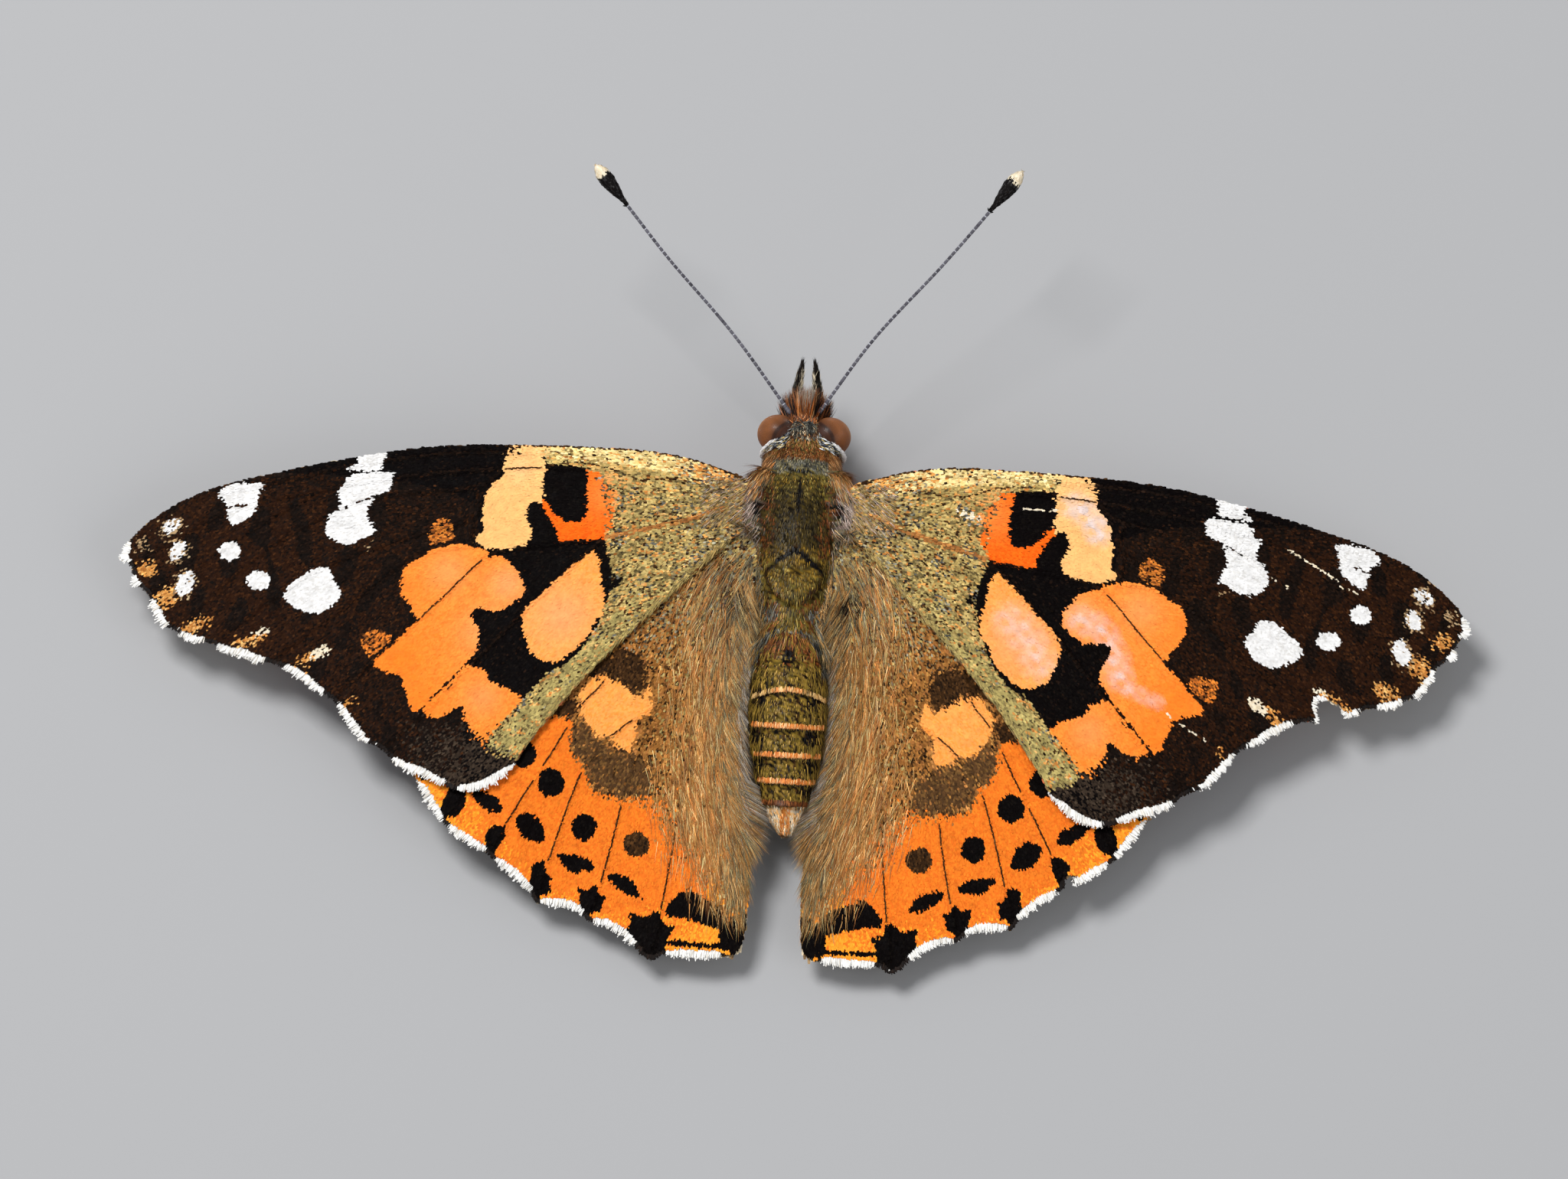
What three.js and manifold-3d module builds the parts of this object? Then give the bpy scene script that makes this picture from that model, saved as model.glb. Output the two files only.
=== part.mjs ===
// Painted lady butterfly (Vanessa cardui), life size, basking with its wings spread flat.
// Millimetres. +X is the animal's right, +Y is towards the head, +Z is up and the floor is z = 0.
// The body is lofted from a few cross-sections, the wings are thin shells triangulated from their
// outline and veins, and the legs, feelers and palps are swept or turned about their own lines.
import * as THREE from "three";
import { mergeVertices } from "three/addons/utils/BufferGeometryUtils.js";
import Module from "manifold-3d";

const wasm = await Module();
wasm.setup();

// Driving dimensions.
const GAP = 0.3; // air between two pieces that touch in life
const SKIN = 0.25; // half the thickness of a wing between its veins
const VEIN = 0.4; // half the thickness of a wing on a vein
const VEIN_WIDTH = 0.38; // from a vein's crest to its foot
const RIM_STEP = 0.95; // spacing of points along a wing's edge
const VEIN_STEP = 1.25; // spacing of points along a vein
const FILL_STEP = 2.3; // spacing of points between the veins
const FORE = { root: 6.1, rootX: 2.8, span: 28.6, tipDrop: 2.9, bend: 1.25, chordDrop: 0.12, frontY: 0.5 };
const HIND = { root: 4.75, rootX: 2.0, rootY: -1.5, reach: 21, drop: 3.2, bend: 1.1 };
const NECK_Y = 2.25; // front face of the thorax
const WAIST_Y = -6.5; // rear face of the thorax
const SOLE = 0.16; // height of a foot's centre line over the floor

// Cross-sections of the body: [y, sideways shift, half width, top z, bottom z].
const HEAD = [
  [NECK_Y + GAP, 0, 1.15, 5.1, 3.2],
  [2.95, 0, 1.4, 5.3, 3.0],
  [3.6, 0, 1.35, 5.35, 2.85],
  [4.2, 0, 1.05, 5.15, 2.95],
  [4.65, 0, 0.7, 4.8, 3.2],
  [4.9, 0, 0.35, 4.4, 3.5],
];
const THORAX = [
  [WAIST_Y, 0, 1.3, 4.9, 2.6],
  [-6.0, 0, 1.65, 5.15, 2.4],
  [-5.2, 0, 2.0, 5.6, 2.25],
  [-4.2, 0, 2.25, 6.05, 2.1],
  [-3.0, 0, 2.45, 6.4, 2.0],
  [-1.5, 0, 2.5, 6.6, 1.95],
  [0.0, 0, 2.3, 6.45, 2.1],
  [1.0, 0, 2.15, 6.1, 2.35],
  [1.8, 0, 1.8, 5.65, 2.7],
  [NECK_Y, 0, 1.35, 5.2, 3.1],
];
const ABDOMEN = [
  [-16.3, 0.3, 0.22, 2.75, 2.15],
  [-15.8, 0.27, 0.55, 3.1, 1.8],
  [-15.05, 0.22, 1.02, 3.6, 1.55],
  [-14.1, 0.2, 1.4, 4.05, 1.45],
  [-13.0, 0.18, 1.68, 4.45, 1.5],
  [-11.6, 0.12, 1.9, 4.9, 1.6],
  [-10.0, 0.08, 1.98, 5.25, 1.75],
  [-8.5, 0.03, 1.9, 5.4, 1.95],
  [-7.4, 0, 1.65, 5.2, 2.3],
  [WAIST_Y - GAP, 0, 1.3, 4.9, 2.6],
];
const SEGMENT_ENDS = [-8.3, -9.95, -11.65, -12.95, -14.1, -15.05]; // rear edges of its rings
const SEGMENT_STEP = 0.13; // how far a ring stands out over the next

// Eyes: caps that bulge from flat sockets in the sides of the head.
const EYE = { y: 3.3, z: 4.2, inner: 1.05, outer: 2.2, length: 1.02, height: 1.15 };

// Wing outlines of the right side, from the root round the front edge and back.
const FORE_FRONT = [[2.3, 0.05], [3.9, 0.75], [5.4, 1.2], [7.2, 1.5], [10, 1.63], [14.3, 1.67],
  [17.5, 1.5], [19.6, 1.17], [23, 0.5], [26.5, -0.35], [28.4, -1.0], [29.7, -1.7], [30.8, -2.6],
  [31.45, -3.3]];
const FORE_TIP = [[31.7, -4.0], [31.3, -4.6], [31.1, -5.3], [30.45, -5.85], [30.15, -6.4],
  [29.5, -7.4], [29.0, -7.65], [28.2, -8.05], [27.1, -8.3], [26.5, -8.6]];
const FORE_WHOLE_RIM = [[25.6, -8.75], [25, -9.05]];
const FORE_TORN_RIM = [[26.1, -8.6], [25.8, -8.15], [25.25, -7.95], [24.8, -8.0], [24.7, -8.45],
  [24.85, -9.1]];
const FORE_REAR = [[24.2, -9.2], [22.9, -9.75], [22.0, -10.45], [21.3, -10.9], [20.4, -11.95],
  [19.7, -12.8], [18.9, -13.2], [18.1, -13.85], [16.8, -14.35], [15.9, -14.8], [15.3, -15.1],
  [14.3, -15.0], [13.3, -14.55], [12.5, -13.75], [11.9, -12.7], [9.8, -9.85], [7.6, -7.4],
  [5.2, -4.9], [3.5, -3.05], [2.2, -1.9]];
const HIND_FRONT = [[2.0, -2.6], [4.2, -2.1], [6.8, -2.9], [9.6, -4.9], [12.3, -7.4],
  [14.8, -10.0], [16.4, -12.2], [17.05, -13.4], [17.15, -14.1], [16.85, -14.8], [16.1, -15.95],
  [15.8, -16.45], [15.2, -16.9]];
const HIND_WHOLE_RIM = [[13.95, -17.6]];
const HIND_NICKED_RIM = [[13.95, -17.7], [13.65, -17.35]];
const HIND_REAR = [[13.35, -18.05], [12.3, -18.65], [11.6, -19.3], [11.15, -19.95], [10.3, -19.9],
  [9.4, -20.05], [8.6, -20.7], [7.9, -20.75], [7.1, -21.1], [6.5, -21.7], [6.1, -22.15],
  [5.5, -22.4], [4.9, -22.1], [3.5, -22.05], [2.4, -22.0], [1.6, -21.7], [1.3, -20.8],
  [1.25, -18.5], [1.45, -16.5], [1.9, -14.6], [2.2, -12.5], [2.35, -9.5], [2.3, -6.5],
  [1.9, -4.6]];

// Main veins, each from its root or fork to its end near the edge.
const FORE_VEINS = {
  costa: [[3.2, 0.05], [5.4, 0.75], [7.2, 1.05], [10, 1.2], [14.3, 1.22], [17.5, 1.05],
    [21, 0.45], [24.5, -0.3], [27.5, -1.05]],
  radius: [[3.2, -0.5], [6, 0.1], [10, 0.5], [14, 0.4], [18, 0.05], [22.5, -0.75],
    [26.3, -1.6], [29, -3.05], [30.9, -4.3]],
  radiusFork: [[22.5, -0.75], [25.5, -2.6], [28.3, -4.65], [30.0, -5.55]],
  media1: [[14, 0.4], [15.2, -0.45], [20.1, -1.1], [22, -1.9], [24, -3.0], [25.8, -4.45],
    [28.5, -7.1]],
  media2: [[15.2, -0.45], [15.2, -1.9], [18, -2.9], [21.5, -4.2], [24.3, -6], [26.6, -7.8]],
  media3: [[15.2, -1.9], [14.3, -3.5], [16.2, -3.3], [18.4, -4.2], [20.5, -6], [23.8, -8.6]],
  cubitus: [[3.1, -1.1], [5.4, -1.9], [8.9, -2.8], [12.2, -3.2], [14.3, -3.5], [16.5, -6.1],
    [19.6, -9.1], [20.9, -10.3]],
  cubitusFork: [[8.9, -2.8], [9.8, -3.6], [12.4, -6.3], [14.8, -9.0], [16.8, -11.3],
    [18.4, -12.8]],
  anal: [[3.1, -1.7], [6, -4.5], [9.0, -7.5], [11.3, -10.0], [13.8, -12.6], [15.0, -14.4]],
};
const HIND_VEINS = {
  front: [[3.3, -2.9], [7, -4.1], [11, -7.0], [14.3, -10.5], [16.4, -13.1]],
  radius: [[3.2, -3.3], [5.5, -5.0], [8.0, -6.6], [12, -9.6], [15, -12.4], [16.5, -14.1]],
  media2: [[8.0, -6.6], [9.6, -8.8], [12.2, -11.4], [14.2, -14.1], [15.4, -15.9]],
  media3: [[8.0, -6.6], [8.4, -9.2], [9.6, -10.8], [10.8, -13.0], [11.9, -14.9], [13.2, -17.3]],
  cubitus: [[3.0, -3.7], [4.3, -7], [5.3, -9.8], [6.9, -11.1], [8.2, -12.2], [9.2, -13.5],
    [10.0, -15.7], [11.0, -19.2]],
  cubitusFork: [[5.3, -9.8], [6.6, -12.2], [7.2, -13.9], [7.75, -17], [8.4, -19.8]],
  anal: [[2.9, -4.2], [3.9, -8], [4.6, -13], [4.9, -17], [5.3, -20.2], [5.5, -21.6]],
};

// Feelers: from the brow forward, outward and up to a club, in the animal's own millimetres.
const FEELER = { shaft: 0.25, club: 0.42, clubLength: 2.4 };
const FEELER_LEFT = [[-0.78, 4.35, 4.85], [-3.6, 7.6, 6.1], [-6.75, 10.6, 7.45],
  [-8.9, 12.85, 8.45], [-10.5, 14.5, 9.2]];
const FEELER_RIGHT = [[0.7, 4.45, 4.85], [3.05, 7.8, 6.05], [6.0, 11.05, 7.45],
  [8.2, 13.65, 8.55], [9.55, 15.35, 9.3]];
const PALP = { thick: 0.3, tip: 0.12 };
const PALP_LINE = [[0.72, 3.9, 2.6], [0.62, 4.8, 2.85], [0.48, 5.8, 3.3], [0.32, 7.3, 4.15]];

// Walking legs: body joint, knee, ankle and toe of the right side.
const LEG = { coxa: 0.42, thigh: 0.34, shin: 0.27, foot: 0.27, beads: 5 };
const LEGS = {
  midleg: [[1.3, -0.9, 2.5], [4.8, 0.3, 3.3], [7.9, 1.0, 0.22], [10.6, 1.6, SOLE]],
  hindleg: [[1.2, -3.9, 2.6], [4.3, -5.6, 3.05], [7.2, -8.6, 0.22], [8.9, -10.8, SOLE]],
};
// Forelegs: short brushes folded under the collar, never used for walking.
const FORELEG = [[0.85, 0.9, 2.5], [1.05, 3.3, 1.75], [0.75, 1.3, 0.95]];

const COLOURS = {
  head: 0x8a5a32, thorax: 0x5f5520, abdomen: 0x6e5a28, eye: 0x7a4422, palp: 0x4a4038,
  proboscis: 0x3a2a1a, feeler: 0x3c3c40, forewing: 0xf09040, hindwing: 0xe07c30, leg: 0xb09a78,
};

// Turns a closed geometry into a solid that can be joined and cut.
function solid(geometry) {
  const bare = geometry.clone();
  bare.deleteAttribute("normal");
  bare.deleteAttribute("uv");
  const merged = mergeVertices(bare, 1e-4);
  return new wasm.Manifold(new wasm.Mesh({
    numProp: 3,
    vertProperties: merged.attributes.position.array,
    triVerts: new Uint32Array(merged.index.array),
  }));
}

// Keeps the largest closed surface of a solid and turns it back into a geometry.
function shape(body) {
  const pieces = body.decompose();
  const largest = pieces.reduce((a, b) => (b.volume() > a.volume() ? b : a));
  const mesh = largest.getMesh();
  const geometry = new THREE.BufferGeometry();
  geometry.setAttribute("position", new THREE.BufferAttribute(mesh.vertProperties, 3));
  geometry.setIndex(new THREE.BufferAttribute(mesh.triVerts, 1));
  const flat = geometry.toNonIndexed();
  flat.computeVertexNormals();
  return flat;
}

function join(parts) {
  return parts.reduce((a, b) => a.add(b));
}

function mirrored(points) {
  return points.map(([x, ...rest]) => [-x, ...rest]);
}

// A closed skin over rings of points, with a fan at either end. Rings run from -Y to +Y.
function skinOver(rings) {
  const sides = rings[0].length;
  const points = rings.flat();
  const index = [];
  for (let r = 0; r + 1 < rings.length; r++)
    for (let s = 0; s < sides; s++) {
      const a = r * sides + s;
      const b = r * sides + ((s + 1) % sides);
      index.push(a, a + sides, b, b, a + sides, b + sides);
    }
  const lastStart = (rings.length - 1) * sides;
  for (const [ring, start, turn] of [[rings[0], 0, 1], [rings.at(-1), lastStart, -1]]) {
    const centre = ring.reduce((sum, p) => sum.map((v, i) => v + p[i] / sides), [0, 0, 0]);
    const hub = points.push(centre) - 1;
    for (let s = 0; s < sides; s++) {
      const edge = [start + s, start + ((s + 1) % sides)];
      if (turn < 0) edge.reverse();
      index.push(hub, ...edge);
    }
  }
  const geometry = new THREE.BufferGeometry();
  geometry.setAttribute("position", new THREE.Float32BufferAttribute(points.flat(), 3));
  geometry.setIndex(index);
  return geometry;
}

// Lofts cross-sections along Y. grow swells the skin outwards, ends included.
function loft(sections, { sides, step, grow = 0, groove = () => 0 }) {
  const ordered = [...sections].sort((a, b) => a[0] - b[0]);
  const curve = new THREE.CubicInterpolant(
    Float64Array.from(ordered, (s) => s[0]),
    Float64Array.from(ordered.flatMap((s) => s.slice(1))),
    4,
    new Float64Array(4),
  );
  const [first, last] = [ordered[0][0], ordered.at(-1)[0]];
  const count = Math.ceil((last - first) / step);
  const rings = [];
  for (let k = 0; k <= count; k++) {
    const y = first + ((last - first) * k) / count;
    const [shift, half, top, bottom] = curve.evaluate(y);
    const inset = groove(y);
    const end = k === 0 ? -grow : k === count ? grow : 0;
    const ring = [];
    for (let s = 0; s < sides; s++) {
      const angle = (2 * Math.PI * s) / sides;
      const up = (top - bottom) / 2 + grow - inset;
      ring.push([
        shift + (half + grow - inset) * Math.cos(angle),
        y + end,
        (top + bottom) / 2 + up * Math.sin(angle),
      ]);
    }
    rings.push(ring);
  }
  return skinOver(rings);
}

// Sweeps a round section along a curve, with a radius for each fraction of its length.
function sweep(points, radiusAt, { sides, steps }) {
  const curve = new THREE.CatmullRomCurve3(points.map((p) => new THREE.Vector3(...p)));
  const frames = curve.computeFrenetFrames(steps);
  const rings = [];
  for (let k = 0; k <= steps; k++) {
    const centre = curve.getPointAt(k / steps);
    const radius = radiusAt(k / steps);
    const ring = [];
    for (let s = 0; s < sides; s++) {
      const angle = (2 * Math.PI * s) / sides;
      const p = centre.clone()
        .addScaledVector(frames.normals[k], radius * Math.cos(angle))
        .addScaledVector(frames.binormals[k], -radius * Math.sin(angle));
      ring.push(p.toArray());
    }
    rings.push(ring);
  }
  return skinOver(rings);
}

// A bone turned about the line from one joint to the next, with rounded ends and any beads.
function bone(from, to, radiusFrom, radiusTo, { sides = 8, beads = 1 } = {}) {
  const start = new THREE.Vector3(...from);
  const line = new THREE.Vector3(...to).sub(start);
  const length = line.length();
  const profile = [
    new THREE.Vector2(0, -radiusFrom * 0.8),
    new THREE.Vector2(radiusFrom * 0.8, -radiusFrom * 0.35),
  ];
  for (let b = 0; b < beads; b++)
    for (const [along, swell] of beads > 1 ? [[0.1, 0.93], [0.85, 1.05]] : [[0.04, 1], [0.96, 1]]) {
      const t = (b + along) / beads;
      profile.push(new THREE.Vector2((radiusFrom + (radiusTo - radiusFrom) * t) * swell, length * t));
    }
  profile.push(new THREE.Vector2(radiusTo * 0.8, length + radiusTo * 0.35));
  profile.push(new THREE.Vector2(0, length + radiusTo * 0.8));
  const turned = new THREE.LatheGeometry(profile, sides);
  const lean = new THREE.Quaternion();
  lean.setFromUnitVectors(new THREE.Vector3(0, 1, 0), line.clone().normalize());
  return turned.applyQuaternion(lean).translate(start.x, start.y, start.z);
}

// Heights of the two wings' middle surfaces over the floor.
function foreHeight(x, y) {
  const out = Math.max(0, (Math.abs(x) - FORE.rootX) / FORE.span);
  return FORE.root - FORE.tipDrop * out ** FORE.bend - FORE.chordDrop * Math.max(0, FORE.frontY - y);
}

function hindHeight(x, y) {
  const out = Math.hypot(Math.abs(x) - HIND.rootX, y - HIND.rootY) / HIND.reach;
  return HIND.root - HIND.drop * out ** HIND.bend;
}

// Evenly spaced points of a smooth line through a few, with the direction at each.
function walk(points, step, closed = false) {
  const line = new THREE.CatmullRomCurve3(
    points.map(([x, y]) => new THREE.Vector3(x, y, 0)), closed, "centripetal");
  line.arcLengthDivisions = 600;
  const count = Math.max(2, Math.round(line.getLength() / step));
  const out = [];
  for (let k = 0; k < (closed ? count : count + 1); k++) {
    const p = line.getPointAt(k / count);
    const t = line.getTangentAt(k / count);
    out.push({ x: p.x, y: p.y, nx: -t.y, ny: t.x });
  }
  return out;
}

function inside(x, y, outline) {
  let odd = false;
  for (let i = 0, j = outline.length - 1; i < outline.length; j = i++) {
    const [a, b] = [outline[i], outline[j]];
    if (a.y > y !== b.y > y && x < ((b.x - a.x) * (y - a.y)) / (b.y - a.y) + a.x) odd = !odd;
  }
  return odd;
}

// Plan points of a wing: its rim, its veins with a foot on either side, and a loose fill.
function wingPoints(outline, veins) {
  const rim = walk(outline, RIM_STEP, true);
  const points = rim.map((p) => ({ x: p.x, y: p.y, vein: false }));
  const clear = (x, y, reach) => points.every((q) => Math.hypot(q.x - x, q.y - y) > reach);
  const lines = Object.values(veins).map((v) => walk(v, VEIN_STEP));
  for (const line of lines)
    for (const p of line)
      if (inside(p.x, p.y, rim) && clear(p.x, p.y, VEIN_WIDTH * 0.85))
        points.push({ x: p.x, y: p.y, vein: true });
  for (const line of lines)
    for (const p of line)
      for (const side of [-VEIN_WIDTH, VEIN_WIDTH]) {
        const [x, y] = [p.x + p.nx * side, p.y + p.ny * side];
        if (inside(x, y, rim) && clear(x, y, VEIN_WIDTH * 0.8)) points.push({ x, y, vein: false });
      }
  for (let row = 0, y = -23; y < 2; y += FILL_STEP * 0.87, row++)
    for (let x = 1 + (row % 2) * FILL_STEP * 0.5; x < 32; x += FILL_STEP)
      if (inside(x, y, rim) && clear(x, y, FILL_STEP * 0.48)) points.push({ x, y, vein: false });
  return { rim, points };
}

// Delaunay triangles of plan points (Bowyer and Watson), kept where they lie within the rim.
function triangulate(points, rim) {
  const wobble = 1e-5;
  const at = points.map((p, i) => [
    p.x + wobble * Math.sin(12.9 * i),
    p.y + wobble * Math.cos(7.7 * i),
  ]);
  const n = at.length;
  at.push([-400, -400], [400, -400], [0, 500]);
  const circle = (a, b, c) => {
    const [[ax, ay], [bx, by], [cx, cy]] = [at[a], at[b], at[c]];
    const d = 2 * (ax * (by - cy) + bx * (cy - ay) + cx * (ay - by));
    const [sa, sb, sc] = [ax * ax + ay * ay, bx * bx + by * by, cx * cx + cy * cy];
    const x = (sa * (by - cy) + sb * (cy - ay) + sc * (ay - by)) / d;
    const y = (sa * (cx - bx) + sb * (ax - cx) + sc * (bx - ax)) / d;
    return { v: [a, b, c], x, y, r2: (ax - x) ** 2 + (ay - y) ** 2 };
  };
  let triangles = [circle(n, n + 1, n + 2)];
  for (let i = 0; i < n; i++) {
    const [px, py] = at[i];
    const edges = new Map();
    const kept = [];
    for (const t of triangles) {
      if ((t.x - px) ** 2 + (t.y - py) ** 2 >= t.r2) {
        kept.push(t);
        continue;
      }
      for (let e = 0; e < 3; e++) {
        const [a, b] = [t.v[e], t.v[(e + 1) % 3]];
        const twin = `${b},${a}`;
        if (edges.has(twin)) edges.delete(twin);
        else edges.set(`${a},${b}`, [a, b]);
      }
    }
    triangles = kept;
    for (const [a, b] of edges.values()) triangles.push(circle(a, b, i));
  }
  return triangles.map((t) => t.v).filter((v) => {
    if (v.some((k) => k >= n)) return false;
    const x = (points[v[0]].x + points[v[1]].x + points[v[2]].x) / 3;
    const y = (points[v[0]].y + points[v[1]].y + points[v[2]].y) / 3;
    return inside(x, y, rim);
  });
}

// A wing: the same triangles on its upper and under faces, closed by a wall round the rim.
function wing(outline, veins, height, side) {
  const { rim, points } = wingPoints(outline, veins);
  const faces = triangulate(points, rim);
  const n = points.length;
  const position = [];
  for (const face of [1, -1])
    for (const p of points)
      position.push(side * p.x, p.y, height(p.x, p.y) + face * (p.vein ? VEIN : SKIN));
  const index = [];
  const open = new Map();
  for (const [a, b, c] of faces) {
    index.push(a, b, c, n + a, n + c, n + b);
    for (const [from, to] of [[a, b], [b, c], [c, a]])
      if (!open.delete(`${to},${from}`)) open.set(`${from},${to}`, [from, to]);
  }
  for (const [a, b] of open.values()) index.push(a, n + a, b, b, n + a, n + b);
  if (side < 0)
    for (let i = 0; i < index.length; i += 3)
      [index[i + 1], index[i + 2]] = [index[i + 2], index[i + 1]];
  const geometry = new THREE.BufferGeometry();
  geometry.setAttribute("position", new THREE.Float32BufferAttribute(position, 3));
  geometry.setIndex(index);
  return geometry;
}

// The rings of the abdomen: each one's rear edge stands out over the start of the next.
function ringGroove(y) {
  const rear = SEGMENT_ENDS.find((end) => y < end + 1e-6 && y > end - 0.6);
  if (rear === undefined) return 0;
  return SEGMENT_STEP * (1 - (rear - y) / 0.6);
}

function ball(radii, centre, turn = 0) {
  return new THREE.SphereGeometry(1, 14, 9).scale(...radii).rotateZ(turn).translate(...centre);
}

// The thorax with its shoulder flaps over the wing roots and the shield behind them.
function thoraxSolid(grow) {
  const trunk = loft(THORAX, { sides: 26, step: 0.75, grow });
  const flap = [0.62 + grow, 1.75 + grow, 0.5 + grow];
  const shield = [1.35 + grow, 1.2 + grow, 0.45 + grow];
  return join([
    solid(trunk),
    solid(ball(flap, [2.02, -0.55, 5.75], 0.12)),
    solid(ball(flap, [-2.02, -0.55, 5.75], -0.12)),
    solid(ball(shield, [0, -4.25, 5.85])),
  ]);
}

function headSolid(grow) {
  return solid(loft(HEAD, { sides: 22, step: 0.26, grow }));
}

function abdomenSolid(grow) {
  return solid(loft(ABDOMEN, { sides: 24, step: 0.3, grow, groove: ringGroove }));
}

// An eye cap, turned about X with a flat face towards the head.
function eyeSolid(side, grow) {
  const deep = EYE.outer - EYE.inner;
  const profile = [new THREE.Vector2(0, -grow)];
  for (const angle of [0, 18, 36, 54, 72]) {
    const a = THREE.MathUtils.degToRad(angle);
    profile.push(new THREE.Vector2(Math.cos(a) + grow, deep * Math.sin(a) + (angle ? grow : -grow)));
  }
  profile.push(new THREE.Vector2(0, deep + grow));
  const cap = new THREE.LatheGeometry(profile, 18).rotateZ(-Math.PI / 2);
  cap.scale(1, EYE.length, EYE.height).translate(EYE.inner, EYE.y, EYE.z);
  return side > 0 ? solid(cap) : solid(cap.rotateZ(Math.PI).translate(0, 2 * EYE.y, 0));
}

// The coiled tongue as a flat disc whose faces carry the turns of a spiral.
const COIL = { x: 0, y: 4.8, z: 1.8, radius: 0.62, half: 0.2, relief: 0.05, turns: 2.5 };
const TONGUE_ROOT = [[0, 4.42, 2.1], [0, 4.2, 3.3]];
function coil() {
  const sides = 20;
  const rounds = 5;
  const rings = [];
  for (const face of [-1, 1])
    for (let r = 1; r <= rounds; r++) {
      const part = face < 0 ? r / rounds : (rounds - r + 1) / rounds;
      const ring = [];
      for (let s = 0; s < sides; s++) {
        const angle = (2 * Math.PI * s) / sides;
        const wave = COIL.relief * Math.cos(2 * Math.PI * COIL.turns * part - angle);
        const reach = COIL.radius * part;
        ring.push([reach * Math.cos(angle), face * (COIL.half + wave), reach * Math.sin(angle)]);
      }
      rings.push(ring);
    }
  return skinOver(rings).rotateZ(-Math.PI / 2).translate(COIL.x, COIL.y, COIL.z);
}

function legSolid([hip, knee, ankle, toe]) {
  return join([
    solid(bone(hip, knee, LEG.coxa, LEG.thigh * 0.8)),
    solid(bone(knee, ankle, LEG.thigh * 0.85, LEG.shin)),
    solid(bone(ankle, toe, LEG.foot * 0.95, LEG.foot * 0.93, { beads: LEG.beads })),
  ]);
}

const butterfly = new THREE.Group();
butterfly.name = "painted_lady";

function place(name, body, colour) {
  const material = new THREE.MeshStandardMaterial({ color: colour, roughness: 0.8, metalness: 0 });
  const mesh = new THREE.Mesh(shape(body), material);
  mesh.name = name;
  butterfly.add(mesh);
}

const floor = solid(new THREE.BoxGeometry(100, 100, 10).translate(0, 0, -5));
const headRoom = headSolid(GAP);
const thoraxRoom = thoraxSolid(GAP);
const abdomenRoom = abdomenSolid(GAP);
let head = headSolid(0);
for (const side of [1, -1]) head = head.subtract(eyeSolid(side, GAP));
place("head", head, COLOURS.head);
place("thorax", thoraxSolid(0), COLOURS.thorax);
place("abdomen", abdomenSolid(0), COLOURS.abdomen);
const tongue = join([solid(coil()), solid(bone(...TONGUE_ROOT, COIL.half, COIL.half))]);
place("proboscis", tongue.subtract(headRoom), COLOURS.proboscis);

const SIDES = { left: -1, right: 1 };
for (const [name, side] of Object.entries(SIDES)) {
  const own = (points) => (side < 0 ? mirrored(points) : points);
  place(`eye_${name}`, eyeSolid(side, 0), COLOURS.eye);

  const palp = sweep(own(PALP_LINE),
    (t) => (t < 0.75 ? PALP.thick : PALP.thick + (PALP.tip - PALP.thick) * ((t - 0.75) / 0.25)),
    { sides: 9, steps: 9 });
  place(`palp_${name}`, solid(palp).subtract(headRoom), COLOURS.palp);

  const feelerLine = side < 0 ? FEELER_LEFT : FEELER_RIGHT;
  const feelerCurve = new THREE.CatmullRomCurve3(feelerLine.map((p) => new THREE.Vector3(...p)));
  const feelerLength = feelerCurve.getLength();
  const clubStart = 1 - FEELER.clubLength / feelerLength;
  const feeler = sweep(feelerLine, (t) => {
    const u = Math.max(0, (t - clubStart) / (1 - clubStart));
    const swell = Math.sin(Math.PI * Math.min(1, u * 0.86)) ** 0.8;
    return FEELER.shaft * (1 - 0.6 * u ** 4) + (FEELER.club - FEELER.shaft) * swell;
  }, { sides: 8, steps: 34 });
  place(`antenna_${name}`, solid(feeler).subtract(headRoom), COLOURS.feeler);

  const torn = side > 0;
  const foreEdge = torn ? FORE_TORN_RIM : FORE_WHOLE_RIM;
  const hindEdge = torn ? HIND_NICKED_RIM : HIND_WHOLE_RIM;
  const foreRim = [...FORE_FRONT, ...FORE_TIP, ...foreEdge, ...FORE_REAR];
  const hindRim = [...HIND_FRONT, ...hindEdge, ...HIND_REAR];
  const forewing = solid(wing(foreRim, FORE_VEINS, foreHeight, side)).subtract(thoraxRoom);
  const hindwing = solid(wing(hindRim, HIND_VEINS, hindHeight, side))
    .subtract(thoraxRoom)
    .subtract(abdomenRoom);
  place(`forewing_${name}`, forewing, COLOURS.forewing);
  place(`hindwing_${name}`, hindwing, COLOURS.hindwing);

  const foreleg = join([
    solid(bone(own(FORELEG)[0], own(FORELEG)[1], 0.32, LEG.shin)),
    solid(bone(own(FORELEG)[1], own(FORELEG)[2], LEG.shin, LEG.shin * 0.95)),
  ]);
  place(`foreleg_${name}`, foreleg.subtract(thoraxRoom), COLOURS.leg);
  for (const [leg, joints] of Object.entries(LEGS))
    place(`${leg}_${name}`, legSolid(own(joints)).subtract(thoraxRoom).subtract(floor), COLOURS.leg);
}

// The origin is the middle of the bounding box's footprint, on the floor.
const box = new THREE.Box3().setFromObject(butterfly);
const middle = box.getCenter(new THREE.Vector3());
for (const mesh of butterfly.children) mesh.position.set(-middle.x, -middle.y, -box.min.z);

export default butterfly;
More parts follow.
